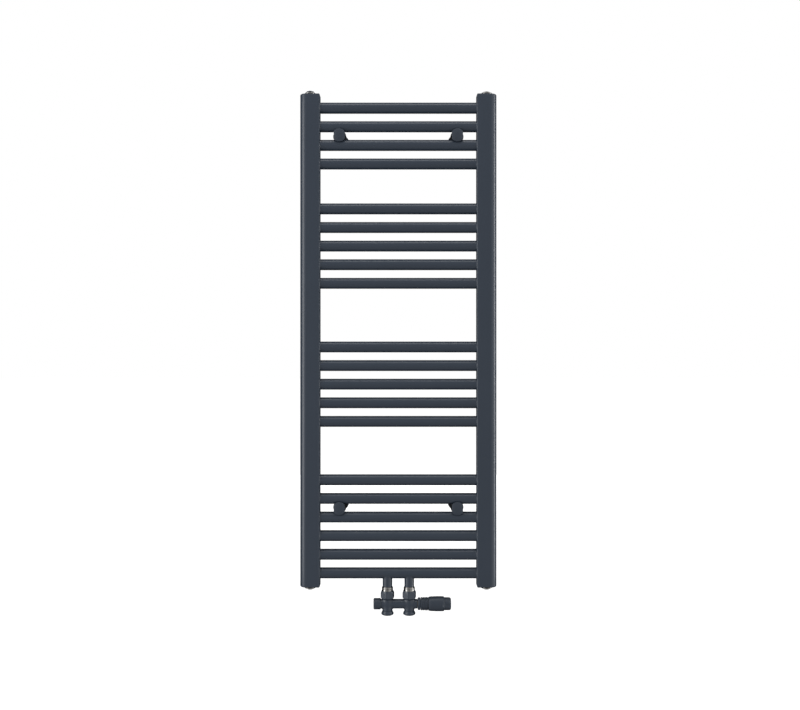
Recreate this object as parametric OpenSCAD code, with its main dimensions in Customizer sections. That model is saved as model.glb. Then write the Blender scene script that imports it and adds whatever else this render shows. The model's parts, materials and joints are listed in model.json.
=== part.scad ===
// Ladder towel radiator with a centre-connected thermostatic valve.
// +X right, -Y towards the room, +Z up. The wall is the plane y = 0.
// The origin is the middle of the four wall fixings, on the wall.

/* [Radiator] */
// Overall width over both collectors
radiator_w = 450; // [400:10:700]
// Height of the collectors
collector_h = 1128; // [1100:1:1400]
// Wall face to the middle of the tubes
wall_distance = 75; // [70:1:95]
// Width of one collector, seen from the front
collector_w = 45.5; // [40:0.5:60]
// Depth of one collector
collector_d = 30; // [28:1:40]
// Wall thickness of the collectors
collector_wall = 1.5; // [1:0.25:2.5]
// Corner radius where a collector's flat side meets its front and back
collector_corner_r = 2; // [1:0.5:4]

/* [Tubes] */
// Outside diameter of a cross tube
tube_d = 25; // [20:0.5:26]
// Wall thickness of a cross tube
tube_wall = 1.25; // [1:0.25:2]
// Spacing of the tubes inside a group
tube_pitch = 42.7; // [38:0.1:44.4]
// Clear height of the upper towel gap
upper_gap = 78; // [60:1:100]
// Clear height of the middle towel gap
middle_gap = 121; // [80:1:130]
// Clear height of the lower towel gap
lower_gap = 109; // [80:1:125]
// How far a tube reaches into a collector
tube_insert = 4; // [2:0.5:8]

/* [End fittings] */
// Bore of the threaded bush at each collector end
bush_bore_d = 18.6; // [15:0.1:21]
// Flange diameter of the plugs and the air vent
plug_flange_d = 24; // [22:0.5:28]
// Flange thickness of the plugs and the air vent
plug_flange_t = 2.5; // [2:0.5:7]
// Height of a plug above its flange
plug_dome_h = 2.5; // [2:0.5:8]

/* [Wall brackets] */
// Distance between the left and right brackets
bracket_spacing = 270; // [160:2:300]
// Height of the front clamp caps
cap_h = 30; // [26:0.5:38]
// Width of the front clamp caps, across their flats
cap_w = 25; // [18:0.5:36]
// Outside diameter of the telescopic wall sleeves
sleeve_d = 22; // [20:0.5:28]
// Diameter of the sliding bracket studs
stud_d = 15; // [12:0.5:17]
// Diameter of the wall rosettes
rosette_d = 36; // [32:0.5:46]
// Hole for a wall screw
wall_hole_d = 6.5; // [5:0.1:7.5]
// Travel of the wall distance setting, each way
wall_travel = 10; // [4:1:12]

/* [Valve] */
// Distance between the flow and return pipes
pipe_spacing = 50; // [46:1:60]
// Outside diameter of the sockets under the lowest tube
socket_d = 22; // [21:0.5:24]
// Length of the sockets below the lowest tube
socket_len = 18.5; // [14:0.5:30]
// Diameter of the vertical legs of the valve body
leg_d = 23; // [22:0.5:26]
// Diameter of the cross bar between the legs
bar_d = 21.5; // [20:0.5:23]
// Union nut size across its flats
union_nut_af = 29; // [28.5:0.5:32]
// Height of a union nut
union_nut_h = 19; // [15:0.5:24]
// Bore for a connecting pipe
pipe_bore_d = 15.2; // [12.2:0.1:15.6]
// Largest diameter of the lower clamping nuts
clamp_nut_d = 28.5; // [27:0.5:34]

/* [Thermostatic head] */
// Diameter of the coupling ring
ring_d = 28; // [27:0.5:32]
// Diameter of the ribbed base
base_d = 29.6; // [28:0.2:36]
// Largest diameter of the turning grip
grip_d = 33.6; // [32:0.2:40]
// Length of the turning grip
grip_len = 51.5; // [42:0.5:70]
// Number of finger flutes round the grip
flute_count = 3; // [2:1:5]

/* [Fits] */
// Radial gap between pieces that stay together
fit_gap = 0.05; // [0.02:0.01:0.08]
// Radial gap between pieces that turn or slide on each other
run_gap = 0.08; // [0.05:0.01:0.1]
// Gap between faces that pass each other
pass_gap = 0.6; // [0.4:0.1:1]

/* [Hidden] */
$fn = 72;
GROUPS = [4, 5, 5, 6];
GAPS = [upper_gap, middle_gap, lower_gap];
function first_tube(g) = g == 0 ? 0 : first_tube(g - 1) + GROUPS[g - 1];
TUBES = first_tube(len(GROUPS));

// Heights are counted from the middle of the tube field, then shifted by z0.
small_steps = TUBES - len(GROUPS);
field_h = small_steps * tube_pitch + upper_gap + middle_gap + lower_gap + len(GAPS) * tube_d;
function group_of(i) = len([for (g = [1:len(GROUPS) - 1]) if (i >= first_tube(g)) g]);
function gaps_above(g) = g == 0 ? 0 : GAPS[g - 1] + gaps_above(g - 1);
function drop(i) = (i - group_of(i)) * tube_pitch + group_of(i) * tube_d + gaps_above(group_of(i));
function field_z(i) = field_h / 2 - drop(i);
// Each bracket grips this tube and the next one down, counted from 0 at the top.
upper_grip_tube = 1;
lower_grip_tube = 15;
function grip_z(i) = (field_z(i) + field_z(i + 1)) / 2;
upper_grip = grip_z(upper_grip_tube);
lower_grip = grip_z(lower_grip_tube);
z0 = -(upper_grip + lower_grip) / 2;
function tube_z(i) = z0 + field_z(i);
fix_z = (upper_grip - lower_grip) / 2;

tube_y = -wall_distance;
tube_r = tube_d / 2;
inner_x = radiator_w / 2 - collector_w;
tube_len = 2 * (inner_x + tube_insert);
collector_top = z0 + collector_h / 2;
collector_bottom = z0 - collector_h / 2;
bush_x = radiator_w / 2 - collector_w / 2;
end_plate_t = 4;
bush_wall = 2.5;
bush_len = 12;
divider_t = 2;
cavity_corner_r = 0.5;

// End fittings: a plug's dome narrows in two steps and has a hexagonal key hole.
seal_t = 1;
seal_rim = 2;
fitting_top = seal_t + plug_flange_t;
flange_chamfer = 0.8;
dome_foot_d = 18;
dome_mid_d = 17;
dome_top_d = 13;
key_d = 7;
key_depth = 3.5;
vent_neck_d = 11;
vent_neck_rise = 0.6;
vent_bore_d = 3;
vent_screw_d = 6;
vent_screw_rise = 2.2;
slot_w = 0.9;
slot_depth = 1.5;
nozzle_d = 17;
nozzle_h = 3;
// The spout is slimmer than the nozzle ring, so that it leaves the ring's round side only.
spout_d = 2.4;
spout_bore_d = 1.2;
spout_reach = 2.5;

// Bracket stations, in depth: the cap stands in front of the tubes, the saddle behind.
clamp_hold = 7;
cap_front_t = 4.5;
saddle_back_t = 6;
cap_front = tube_y - tube_r - cap_front_t;
cap_back = tube_y - tube_r + clamp_hold;
saddle_front = tube_y + tube_r - clamp_hold;
saddle_back = tube_y + tube_r + saddle_back_t;
saddle_d = cap_h;
spigot_d = 10;
slide_margin = 2;
sleeve_len = -saddle_back - wall_travel - slide_margin;
sleeve_base = 6;
screw_head_room = 7;
stud_end = -sleeve_base - wall_travel - screw_head_room;
clamp_hole_d = 5.4;
clamp_hole_inset = 3;
screw_d = 5;
screw_inset = 4;
grub_inset = 6;
grub_d = 4;
grub_key_d = 2;
grub_tip = 1.2;
rosette_t = 9;
rosette_rim_t = 2;
rosette_lip = 2.2;

// Valve stations, in height below the lowest tube.
lowest = tube_z(TUBES - 1);
pipe_x = pipe_spacing / 2;
socket_bottom = lowest - tube_r - socket_len;
collar_len = 9.3;
nut_top = socket_bottom - collar_len;
nut_bottom = nut_top - union_nut_h;
valve_z = nut_bottom - leg_d / 2;
adapter_d = 25.4;
adapter_bottom = nut_bottom + 9;
adapter_bore_d = 13;
adapter_thread_len = socket_len - 6;
nut_turn = 20;
nut_lip_t = 3;
nut_corner_r = union_nut_af / 2 + 1.9;
nut_bore_d = adapter_d + 2 * fit_gap;
tail_d = 19;
tail_flange_d = 23;
tail_flange_t = 3.4;
union_seal_t = adapter_bottom - nut_bottom - nut_lip_t - tail_flange_t;
leg_foot = 3.5;
clamp_nut_h = 10;
leg_bottom = valve_z - leg_d / 2 - leg_foot;
clamp_nut_bottom = leg_bottom - clamp_nut_h;
clamp_nut_waist = 3;
clamp_thread_d = 20.6;
clamp_thread_bottom = clamp_nut_bottom + 4;
waterway_d = 12;
olive_h = 0.5;

// The valve insert and the lockshield sit in mirrored cross bores.
chamber_d = 17;
chamber_overlap = 2.5;
seat_d = 9;
seat_len = 8;
seat_x = pipe_x - 3.5;
link_d = 6.4;
link_x = seat_x - link_d / 2 - 0.7;
link_drop = leg_d / 2 + 3.5;
lower_bore_drop = leg_d / 2 + 1.5;
bar_end = pipe_x + 19;
insert_len = 16;
insert_in = bar_end - insert_len;
insert_out = bar_end + 4;
insert_flange_d = 16;
insert_recess_d = 8;
insert_recess = 4;
stem_d = 4;
stem_hole_d = stem_d + 1.2;
disc_d = 13;
disc_t = 3;
lift = 1;
disc_gap = lift + 0.5;
spindle_d = 10;
spindle_seat_d = 13;
spindle_seat_t = 5;
spindle_x = seat_x + 2;
spindle_head = 5;
spindle_key_d = 5.8;
shield_d = 25.4;
shield_start = bar_end - 3.5;
shield_end = bar_end + 13;
shield_wall = 2;

// The head stands on the right end of the bar.
ring_x = bar_end + 0.4;
ring_len = 6.5;
base_x = ring_x + ring_len + pass_gap;
base_len = 17;
grip_x = base_x + base_len + pass_gap;
head_end = grip_x + grip_len;
hub_d = 19;
hub_len = 24;
capsule_d = 13;
capsule_len = hub_len + 4;
tip_d = 28.8;
tip_len = 15.5;
tip_x = head_end - tip_len;
tip_disc_d = 16;
tip_disc_t = 2.4;
tip_disc_inset = 2;
groove_first = 3;
groove_count = 4;
groove_pitch = 4;
groove_w = 1.2;
groove_depth = 0.8;
flute_r = 12;
flute_depth = 1.2;
flute_start = 7;

TUBE_NAMES = [for (i = [1:TUBES]) str("tube_", i < 10 ? "0" : "", i)];

paint = [0.22, 0.24, 0.27];
nickel = [0.78, 0.77, 0.74];
brass = [0.80, 0.66, 0.36];
steel = [0.62, 0.63, 0.65];
black_rubber = [0.08, 0.08, 0.08];

// ---- shared shapes ----

// A solid of revolution about +X, drawn as [x, radius] points.
module lathe_x(points) {
    rotate([0, 90, 0]) rotate_extrude() polygon([for (p = points) [p[1], p[0]]]);
}

// A solid of revolution about +Z, drawn as [radius, z] points.
module lathe_z(points) {
    rotate_extrude() polygon(points);
}

module ring_z(outer, inner, z, h) {
    translate([0, 0, z]) difference() {
        cylinder(d = outer, h = h);
        translate([0, 0, -1]) cylinder(d = inner, h = h + 2);
    }
}

// Section of a collector: flat side at x = 0 with small corners, half round at the far side.
module d_section(w, d, corner) {
    r = d / 2;
    union() {
        translate([corner, -r]) square([w - r - corner, d]);
        translate([0, -r + corner]) square([w - r, d - 2 * corner]);
        for (s = [-1, 1]) translate([corner, s * (r - corner)]) circle(r = corner);
        translate([w - r, 0]) circle(r = r);
    }
}

module hollow_section() {
    difference() {
        d_section(collector_w, collector_d, collector_corner_r);
        translate([collector_wall, 0])
            d_section(collector_w - 2 * collector_wall, collector_d - 2 * collector_wall, cavity_corner_r);
    }
}

// side is -1 for the left and 1 for the right.
module at_collector(side) {
    translate([side * inner_x, tube_y, 0]) mirror([side < 0 ? 1 : 0, 0, 0]) children();
}

module at_brackets() {
    for (x = [-1, 1]) for (z = [-1, 1])
        translate([x * bracket_spacing / 2, 0, z * fix_z]) children();
}

// Local +Z points from y = 0 into the room (-Y).
module into_room() { rotate([90, 0, 0]) children(); }

module at_pipes() {
    for (s = [-1, 1]) translate([s * pipe_x, tube_y, 0]) children();
}

module at_valve() { translate([0, tube_y, valve_z]) children(); }

// ---- radiator ----

module collector(side) {
    color(paint) difference() {
        at_collector(side) translate([0, 0, collector_bottom + end_plate_t])
            linear_extrude(collector_h - 2 * end_plate_t) hollow_section();
        for (i = [0:TUBES - 1]) translate([side * inner_x, tube_y, tube_z(i)])
            rotate([0, 90, 0]) cylinder(d = tube_d + 2 * fit_gap, h = 4 * collector_wall, center = true);
    }
}

module left_collector() { collector(-1); }
module right_collector() { collector(1); }

module end_plate() {
    difference() {
        union() {
            linear_extrude(end_plate_t) d_section(collector_w, collector_d, collector_corner_r);
            translate([collector_w / 2, 0, end_plate_t])
                cylinder(d = bush_bore_d + 2 * bush_wall, h = bush_len - end_plate_t);
        }
        translate([collector_w / 2, 0, -1]) cylinder(d = bush_bore_d, h = bush_len + 2);
    }
}

module collector_end_plates() {
    color(paint) for (side = [-1, 1]) at_collector(side) {
        translate([0, 0, collector_bottom]) end_plate();
        translate([0, 0, collector_top]) mirror([0, 0, 1]) end_plate();
    }
}

module cross_tube(i) {
    color(paint) translate([0, tube_y, tube_z(i)]) rotate([0, 90, 0]) difference() {
        cylinder(d = tube_d, h = tube_len, center = true);
        cylinder(d = tube_d - 2 * tube_wall, h = tube_len + 2, center = true);
        if (i == TUBES - 1) for (s = [-1, 1])
            translate([0, 0, s * pipe_x]) rotate([0, 90, 0]) cylinder(d = waterway_d, h = tube_d);
    }
}

module pipe_sockets() {
    color(paint) difference() {
        at_pipes() ring_z(socket_d, bush_bore_d, socket_bottom, lowest - socket_bottom);
        translate([0, tube_y, lowest]) rotate([0, 90, 0])
            cylinder(d = tube_d + 2 * fit_gap, h = 2 * pipe_spacing, center = true);
    }
}

module flow_divider() {
    color(steel) translate([0, tube_y, lowest]) rotate([0, 90, 0])
        cylinder(d = tube_d - 2 * tube_wall - 2 * fit_gap, h = divider_t, center = true);
}

// ---- end fittings ----

// The four fittings stand on the collector ends: three blind plugs and one air vent, top left.
module at_fitting(side, end) {
    translate([side * bush_x, tube_y, end > 0 ? collector_top : collector_bottom])
        mirror([0, 0, end > 0 ? 0 : 1]) children();
}

plug_thread = [[0, -bush_len + 1], [bush_bore_d / 2 - fit_gap, -bush_len + 1],
    [bush_bore_d / 2 - fit_gap, seal_t], [plug_flange_d / 2, seal_t]];

plug_flange = concat(plug_thread, [[plug_flange_d / 2, fitting_top - flange_chamfer],
    [plug_flange_d / 2 - flange_chamfer, fitting_top]]);
plug_dome = [[dome_foot_d / 2, fitting_top], [dome_mid_d / 2, fitting_top + plug_dome_h / 2],
    [dome_top_d / 2, fitting_top + plug_dome_h], [0, fitting_top + plug_dome_h]];

module blind_plug() {
    difference() {
        lathe_z(concat(plug_flange, plug_dome));
        translate([0, 0, fitting_top + plug_dome_h - key_depth]) cylinder(d = key_d, h = key_depth + 1, $fn = 6);
    }
}

module blind_plugs() {
    color(nickel) for (p = [[1, 1], [-1, -1], [1, -1]]) at_fitting(p[0], p[1]) blind_plug();
}

module plug_seals() {
    color(black_rubber) for (side = [-1, 1]) for (end = [-1, 1]) at_fitting(side, end)
        ring_z(bush_bore_d + 2 * seal_rim, bush_bore_d, 0, seal_t);
}

module air_vent_body() {
    color(nickel) at_fitting(-1, 1) difference() {
        union() {
            lathe_z(concat(plug_flange, [[0, fitting_top]]));
            cylinder(d = vent_neck_d, h = fitting_top + nozzle_h + vent_neck_rise);
        }
        translate([0, 0, -1]) cylinder(d = vent_screw_d, h = fitting_top + nozzle_h + 3);
        translate([0, 0, -bush_len]) cylinder(d = vent_bore_d, h = bush_len + 1);
    }
}

// The nozzle ring turns round the neck so that the spout can face any way.
module air_vent_nozzle() {
    color(paint) at_fitting(-1, 1) translate([0, 0, fitting_top + pass_gap / 2]) difference() {
        union() {
            cylinder(d = nozzle_d, h = nozzle_h);
            translate([0, 0, nozzle_h / 2]) rotate([90, 0, 0]) cylinder(d = spout_d, h = nozzle_d / 2 + spout_reach);
        }
        translate([0, 0, -1]) cylinder(d = vent_neck_d + 2 * run_gap, h = nozzle_h + 2);
        translate([0, 0, nozzle_h / 2]) rotate([90, 0, 0]) cylinder(d = spout_bore_d, h = nozzle_d);
    }
}

module air_vent_screw() {
    color(nickel) at_fitting(-1, 1) difference() {
        cylinder(d = vent_screw_d - 2 * run_gap, h = fitting_top + nozzle_h + vent_screw_rise);
        translate([0, 0, fitting_top + nozzle_h + vent_screw_rise])
            cube([slot_w, vent_screw_d + 1, 2 * slot_depth], center = true);
    }
}

// ---- wall brackets ----

module wall_sleeves() {
    color(paint) at_brackets() into_room() difference() {
        cylinder(d = sleeve_d, h = sleeve_len);
        translate([0, 0, sleeve_base]) cylinder(d = stud_d + 2 * run_gap, h = sleeve_len);
        translate([0, 0, -1]) cylinder(d = wall_hole_d, h = sleeve_len);
        translate([0, 0, sleeve_len - grub_inset]) rotate([0, 90, 0]) cylinder(d = grub_d, h = sleeve_d);
    }
}

module wall_rosettes() {
    color(paint) at_brackets() into_room() rotate_extrude() polygon([
        [sleeve_d / 2 + fit_gap, 0], [rosette_d / 2, 0], [rosette_d / 2, rosette_rim_t],
        [rosette_d / 2 - 1.2, rosette_rim_t + 1.4], [sleeve_d / 2 + rosette_lip, rosette_t],
        [sleeve_d / 2 + fit_gap, rosette_t]]);
}

module depth_grub_screws() {
    color(steel) at_brackets() into_room() translate([0, 0, sleeve_len - grub_inset]) rotate([0, 90, 0])
        translate([0, 0, stud_d / 2 + pass_gap / 2]) difference() {
            cylinder(d = grub_d - 2 * fit_gap, h = (sleeve_d - stud_d) / 2);
            translate([0, 0, grub_tip]) cylinder(d = grub_key_d, h = sleeve_d, $fn = 6);
        }
}

// A stud slides in its wall sleeve and carries the saddle on its front end.
module bracket_studs() {
    color(steel) at_brackets() into_room() difference() {
        union() {
            translate([0, 0, -stud_end]) cylinder(d = stud_d, h = stud_end - saddle_back);
            translate([0, 0, -saddle_back]) cylinder(d = spigot_d, h = saddle_back_t);
        }
        translate([0, 0, -stud_end - 1]) cylinder(d = clamp_hole_d, h = wall_distance);
    }
}

module grip_channels(gap) {
    for (s = [-1, 1]) translate([0, tube_y, s * tube_pitch / 2]) rotate([0, 90, 0])
        cylinder(d = tube_d + 2 * gap, h = 2 * cap_h, center = true);
}

module rear_saddles() {
    color(paint) at_brackets() difference() {
        into_room() translate([0, 0, -saddle_back]) cylinder(d = saddle_d, h = saddle_back - saddle_front);
        grip_channels(fit_gap);
        into_room() translate([0, 0, -saddle_back - 1])
            cylinder(d = spigot_d + 2 * fit_gap, h = saddle_back_t + 1 + fit_gap);
        into_room() cylinder(d = clamp_hole_d, h = 2 * wall_distance);
    }
}

module front_clamp_caps() {
    color(paint) at_brackets() difference() {
        intersection() {
            translate([0, cap_front, 0]) rotate([-90, 0, 0]) lathe_z([[0, 0], [cap_h / 2 - 2.5, 0],
                [cap_h / 2 - 0.8, 0.8], [cap_h / 2, 2.4], [cap_h / 2, cap_back - cap_front],
                [0, cap_back - cap_front]]);
            translate([0, (cap_front + cap_back) / 2, 0]) cube([cap_w, 2 * tube_d, 2 * cap_h], center = true);
        }
        grip_channels(fit_gap);
        translate([0, cap_front + clamp_hole_inset, 0]) rotate([-90, 0, 0]) cylinder(d = clamp_hole_d, h = tube_d);
    }
}

module clamp_screws() {
    start = cap_front + clamp_hole_inset + fit_gap;
    color(steel) at_brackets() translate([0, start, 0]) rotate([-90, 0, 0])
        cylinder(d = screw_d, h = stud_end - screw_inset - start);
}

// ---- valve ----

// One leg's cross bore, seat and links, drawn for the leg on the +X side.
module leg_waterways() {
    top = nut_bottom + nut_lip_t + tail_flange_t - valve_z;
    translate([pipe_x, 0, chamber_d / 2 - chamber_overlap]) cylinder(d = waterway_d, h = top);
    translate([seat_x, 0, 0]) rotate([0, 90, 0]) cylinder(d = chamber_d, h = 2 * bar_end);
    translate([seat_x - seat_len, 0, 0]) rotate([0, 90, 0]) cylinder(d = seat_d, h = seat_len + 1);
    translate([link_x, 0, -link_drop]) cylinder(d = link_d, h = link_drop);
    translate([pipe_x, 0, -2 * leg_d]) cylinder(d = waterway_d, h = 2 * leg_d - lower_bore_drop);
    translate([pipe_x, 0, clamp_nut_bottom - valve_z - 1]) cylinder(d = pipe_bore_d, h = clamp_nut_h + 2);
}

module valve_body() {
    color(paint) at_valve() difference() {
        union() {
            rotate([0, 90, 0]) cylinder(d = bar_d, h = 2 * bar_end, center = true);
            for (s = [-1, 1]) translate([s * pipe_x, 0, 0]) {
                translate([0, 0, leg_bottom - valve_z]) cylinder(d = leg_d, h = nut_bottom - pass_gap - leg_bottom);
                cylinder(d = tail_d, h = nut_bottom + nut_lip_t - valve_z);
                translate([0, 0, nut_bottom + nut_lip_t - valve_z]) cylinder(d = tail_flange_d, h = tail_flange_t);
                translate([0, 0, clamp_thread_bottom - valve_z])
                    cylinder(d = clamp_thread_d, h = valve_z - clamp_thread_bottom);
            }
        }
        leg_waterways();
        mirror([1, 0, 0]) leg_waterways();
    }
}

module union_adapters() {
    color(nickel) at_pipes() difference() {
        union() {
            translate([0, 0, adapter_bottom]) cylinder(d = adapter_d, h = socket_bottom - adapter_bottom);
            translate([0, 0, socket_bottom]) cylinder(d = bush_bore_d - 2 * fit_gap, h = adapter_thread_len);
        }
        translate([0, 0, adapter_bottom - 1])
            cylinder(d = adapter_bore_d, h = collar_len + union_nut_h + socket_len);
    }
}

module union_nuts() {
    color(paint) at_pipes() difference() {
        intersection() {
            rotate([0, 0, nut_turn]) translate([0, 0, nut_bottom])
                cylinder(d = union_nut_af / cos(30), h = union_nut_h, $fn = 6);
            lathe_z([[0, nut_bottom], [nut_corner_r - 2.8, nut_bottom], [nut_corner_r, nut_bottom + 3.4],
                [nut_corner_r, nut_top - 3.4], [nut_corner_r - 2.8, nut_top], [0, nut_top]]);
        }
        translate([0, 0, nut_bottom + nut_lip_t]) cylinder(d = nut_bore_d, h = union_nut_h);
        translate([0, 0, nut_bottom - 1]) cylinder(d = tail_d + 2 * fit_gap, h = union_nut_h);
    }
}

module union_seals() {
    color(black_rubber) at_pipes()
        ring_z(tail_flange_d, adapter_bore_d, adapter_bottom - union_seal_t, union_seal_t);
}

module pipe_clamping_nuts() {
    r = clamp_nut_d / 2;
    color(paint) at_pipes() difference() {
        translate([0, 0, clamp_nut_bottom]) lathe_z([[0, 0], [r - 3.4, 0], [r - 1, 1.2], [r, 3.4], [r - 0.4, 5.4],
            [r - clamp_nut_waist, clamp_nut_h - fit_gap], [0, clamp_nut_h - fit_gap]]);
        translate([0, 0, clamp_thread_bottom - olive_h])
            cylinder(d = clamp_thread_d + 2 * fit_gap, h = clamp_nut_h);
        translate([0, 0, clamp_nut_bottom - 1]) cylinder(d = pipe_bore_d + 4 * run_gap, h = clamp_nut_h + 2);
    }
}

module olives() {
    color(brass) at_pipes() ring_z(clamp_thread_d, pipe_bore_d + 2 * fit_gap, clamp_thread_bottom - olive_h, olive_h);
}

module valve_insert() {
    color(brass) at_valve() difference() {
        union() {
            translate([insert_in, 0, 0]) rotate([0, 90, 0])
                cylinder(d = chamber_d - 2 * fit_gap, h = bar_end - insert_in);
            translate([bar_end, 0, 0]) rotate([0, 90, 0])
                cylinder(d = insert_flange_d, h = insert_out - bar_end);
        }
        translate([insert_in - 1, 0, 0]) rotate([0, 90, 0])
            cylinder(d = stem_d + 2 * run_gap, h = insert_out - insert_in + 2);
        translate([insert_in - 1, 0, 0]) rotate([0, 90, 0]) cylinder(d = insert_recess_d, h = insert_recess + 1);
    }
}

module valve_stem() {
    start = seat_x + disc_gap + disc_t + fit_gap;
    color(steel) at_valve() translate([start, 0, 0]) rotate([0, 90, 0])
        cylinder(d = stem_d, h = grip_x + 1 - start);
}

module valve_disc() {
    color(black_rubber) at_valve() translate([seat_x + disc_gap, 0, 0]) rotate([0, 90, 0])
        cylinder(d = disc_d, h = disc_t);
}

module lockshield_spindle() {
    color(brass) at_valve() mirror([1, 0, 0]) difference() {
        union() {
            translate([spindle_x, 0, 0]) rotate([0, 90, 0]) cylinder(d = spindle_seat_d, h = spindle_seat_t);
            translate([spindle_x, 0, 0]) rotate([0, 90, 0]) cylinder(d = spindle_d, h = insert_in - spindle_x);
            translate([insert_in, 0, 0]) rotate([0, 90, 0])
                cylinder(d = chamber_d - 2 * run_gap, h = bar_end - insert_in);
            translate([bar_end, 0, 0]) rotate([0, 90, 0]) cylinder(d = spindle_d, h = spindle_head);
        }
        translate([bar_end + 1, 0, 0]) rotate([0, 90, 0]) cylinder(d = spindle_key_d, h = spindle_head, $fn = 6);
    }
}

module lockshield_cap() {
    color(paint) at_valve() mirror([1, 0, 0]) difference() {
        lathe_x([[shield_start, 0], [shield_start, shield_d / 2 - 0.6], [shield_start + 0.6, shield_d / 2],
            [shield_end - 1, shield_d / 2], [shield_end, shield_d / 2 - 1], [shield_end, 0]]);
        translate([shield_start - 1, 0, 0]) rotate([0, 90, 0])
            cylinder(d = bar_d + 2 * run_gap, h = bar_end - shield_start + 1 + run_gap);
        translate([shield_start, 0, 0]) rotate([0, 90, 0])
            cylinder(d = chamber_d + 2 * pass_gap, h = shield_end - shield_wall - shield_start);
    }
}

// ---- thermostatic head ----

module head_coupling_ring() {
    color(paint) at_valve() difference() {
        lathe_x([[ring_x, 0], [ring_x, ring_d / 2 - 0.8], [ring_x + 0.8, ring_d / 2],
            [ring_x + ring_len - 0.8, ring_d / 2], [ring_x + ring_len, ring_d / 2 - 0.8], [ring_x + ring_len, 0]]);
        translate([ring_x - 1, 0, 0]) rotate([0, 90, 0]) cylinder(d = hub_d + 2 * fit_gap, h = ring_len + 2);
    }
}

module head_base() {
    color(paint) at_valve() difference() {
        union() {
            lathe_x([[base_x, 0], [base_x, base_d / 2 - 1], [base_x + 1, base_d / 2],
                [base_x + base_len, base_d / 2 + 0.4], [base_x + base_len, 0]]);
            translate([ring_x, 0, 0]) rotate([0, 90, 0]) cylinder(d = hub_d, h = base_x - ring_x);
            translate([base_x + base_len, 0, 0]) rotate([0, 90, 0]) cylinder(d = hub_d, h = hub_len);
        }
        for (i = [0:groove_count - 1]) translate([base_x + groove_first + i * groove_pitch, 0, 0])
            rotate([0, 90, 0]) difference() {
                cylinder(d = base_d + 6, h = groove_w);
                translate([0, 0, -1]) cylinder(d = base_d - 2 * groove_depth, h = groove_w + 2);
            }
        translate([ring_x - 1, 0, 0]) rotate([0, 90, 0])
            cylinder(d = insert_flange_d + 2 * fit_gap, h = insert_out - ring_x + 1 + fit_gap);
        translate([ring_x, 0, 0]) rotate([0, 90, 0]) cylinder(d = stem_hole_d, h = grip_len);
        translate([grip_x, 0, 0]) rotate([0, 90, 0]) cylinder(d = capsule_d + 2 * run_gap, h = grip_len);
    }
}

// The grip turns on the base's hub. Its flutes run from the barrel into the narrower tip.
module head_grip() {
    color(paint) at_valve() difference() {
        lathe_x([[grip_x, 0], [grip_x, base_d / 2 + 0.6], [grip_x + 5, grip_d / 2 - 0.4], [grip_x + 20, grip_d / 2],
            [tip_x - 1.5, grip_d / 2], [tip_x, tip_d / 2], [head_end - 4, tip_d / 2],
            [head_end - 1.2, tip_d / 2 - 1.2], [head_end, tip_d / 2 - 4], [head_end, 0]]);
        translate([grip_x - 1, 0, 0]) rotate([0, 90, 0]) cylinder(d = hub_d + 2 * run_gap, h = hub_len + 3);
        translate([grip_x, 0, 0]) rotate([0, 90, 0]) cylinder(d = capsule_d + 1, h = head_end - grip_x - 6);
        translate([head_end - tip_disc_inset, 0, 0]) rotate([0, 90, 0]) cylinder(d = tip_disc_d, h = tip_disc_t);
        for (i = [0:flute_count - 1]) rotate([i * 360 / flute_count, 0, 0])
            translate([tip_x - flute_start, -tip_d / 2 - flute_r + flute_depth, 0]) rotate([0, 90, 0])
                cylinder(r = flute_r, h = flute_start + 1);
    }
}

module sensor_capsule() {
    color(steel) at_valve() translate([grip_x + 1 + fit_gap, 0, 0]) rotate([0, 90, 0])
        cylinder(d = capsule_d, h = capsule_len);
}

module head_tip_disc() {
    color(paint) at_valve() translate([head_end - tip_disc_inset + fit_gap, 0, 0]) rotate([0, 90, 0])
        cylinder(d = tip_disc_d - 2 * fit_gap, h = tip_disc_t);
}

// ---- nodes ----

left_collector();
right_collector();
collector_end_plates();
for (i = [0:TUBES - 1]) cross_tube(i);
pipe_sockets();
flow_divider();
blind_plugs();
plug_seals();
air_vent_body();
air_vent_nozzle();
air_vent_screw();
wall_sleeves();
wall_rosettes();
depth_grub_screws();
bracket_studs();
rear_saddles();
front_clamp_caps();
clamp_screws();
valve_body();
union_adapters();
union_nuts();
union_seals();
pipe_clamping_nuts();
olives();
valve_insert();
valve_stem();
valve_disc();
lockshield_spindle();
lockshield_cap();
head_coupling_ring();
head_base();
head_grip();
sensor_capsule();
head_tip_disc();
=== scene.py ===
import json
import math

import bpy
import numpy as np
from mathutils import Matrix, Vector


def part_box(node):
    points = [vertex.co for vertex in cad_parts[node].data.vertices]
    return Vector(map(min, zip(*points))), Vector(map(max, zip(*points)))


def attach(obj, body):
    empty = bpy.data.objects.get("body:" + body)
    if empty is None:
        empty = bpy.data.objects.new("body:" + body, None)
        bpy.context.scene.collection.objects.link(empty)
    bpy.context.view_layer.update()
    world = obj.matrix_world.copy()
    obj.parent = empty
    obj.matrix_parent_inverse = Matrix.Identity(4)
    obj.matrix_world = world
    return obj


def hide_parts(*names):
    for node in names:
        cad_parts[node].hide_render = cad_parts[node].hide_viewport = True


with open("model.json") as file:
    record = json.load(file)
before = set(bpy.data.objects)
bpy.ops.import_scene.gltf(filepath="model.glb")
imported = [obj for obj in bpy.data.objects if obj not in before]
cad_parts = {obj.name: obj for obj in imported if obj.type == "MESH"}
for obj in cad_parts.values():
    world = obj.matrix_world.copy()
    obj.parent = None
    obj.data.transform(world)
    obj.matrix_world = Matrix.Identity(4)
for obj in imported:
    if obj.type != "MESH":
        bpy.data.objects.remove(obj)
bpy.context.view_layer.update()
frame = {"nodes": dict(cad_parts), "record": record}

mm = 0.001  # shapes are worked out in millimetres and stored in metres
tau = 2 * math.pi


def nodeBox(name):
    low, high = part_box(name)
    return np.array(low) / mm, np.array(high) / mm


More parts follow.
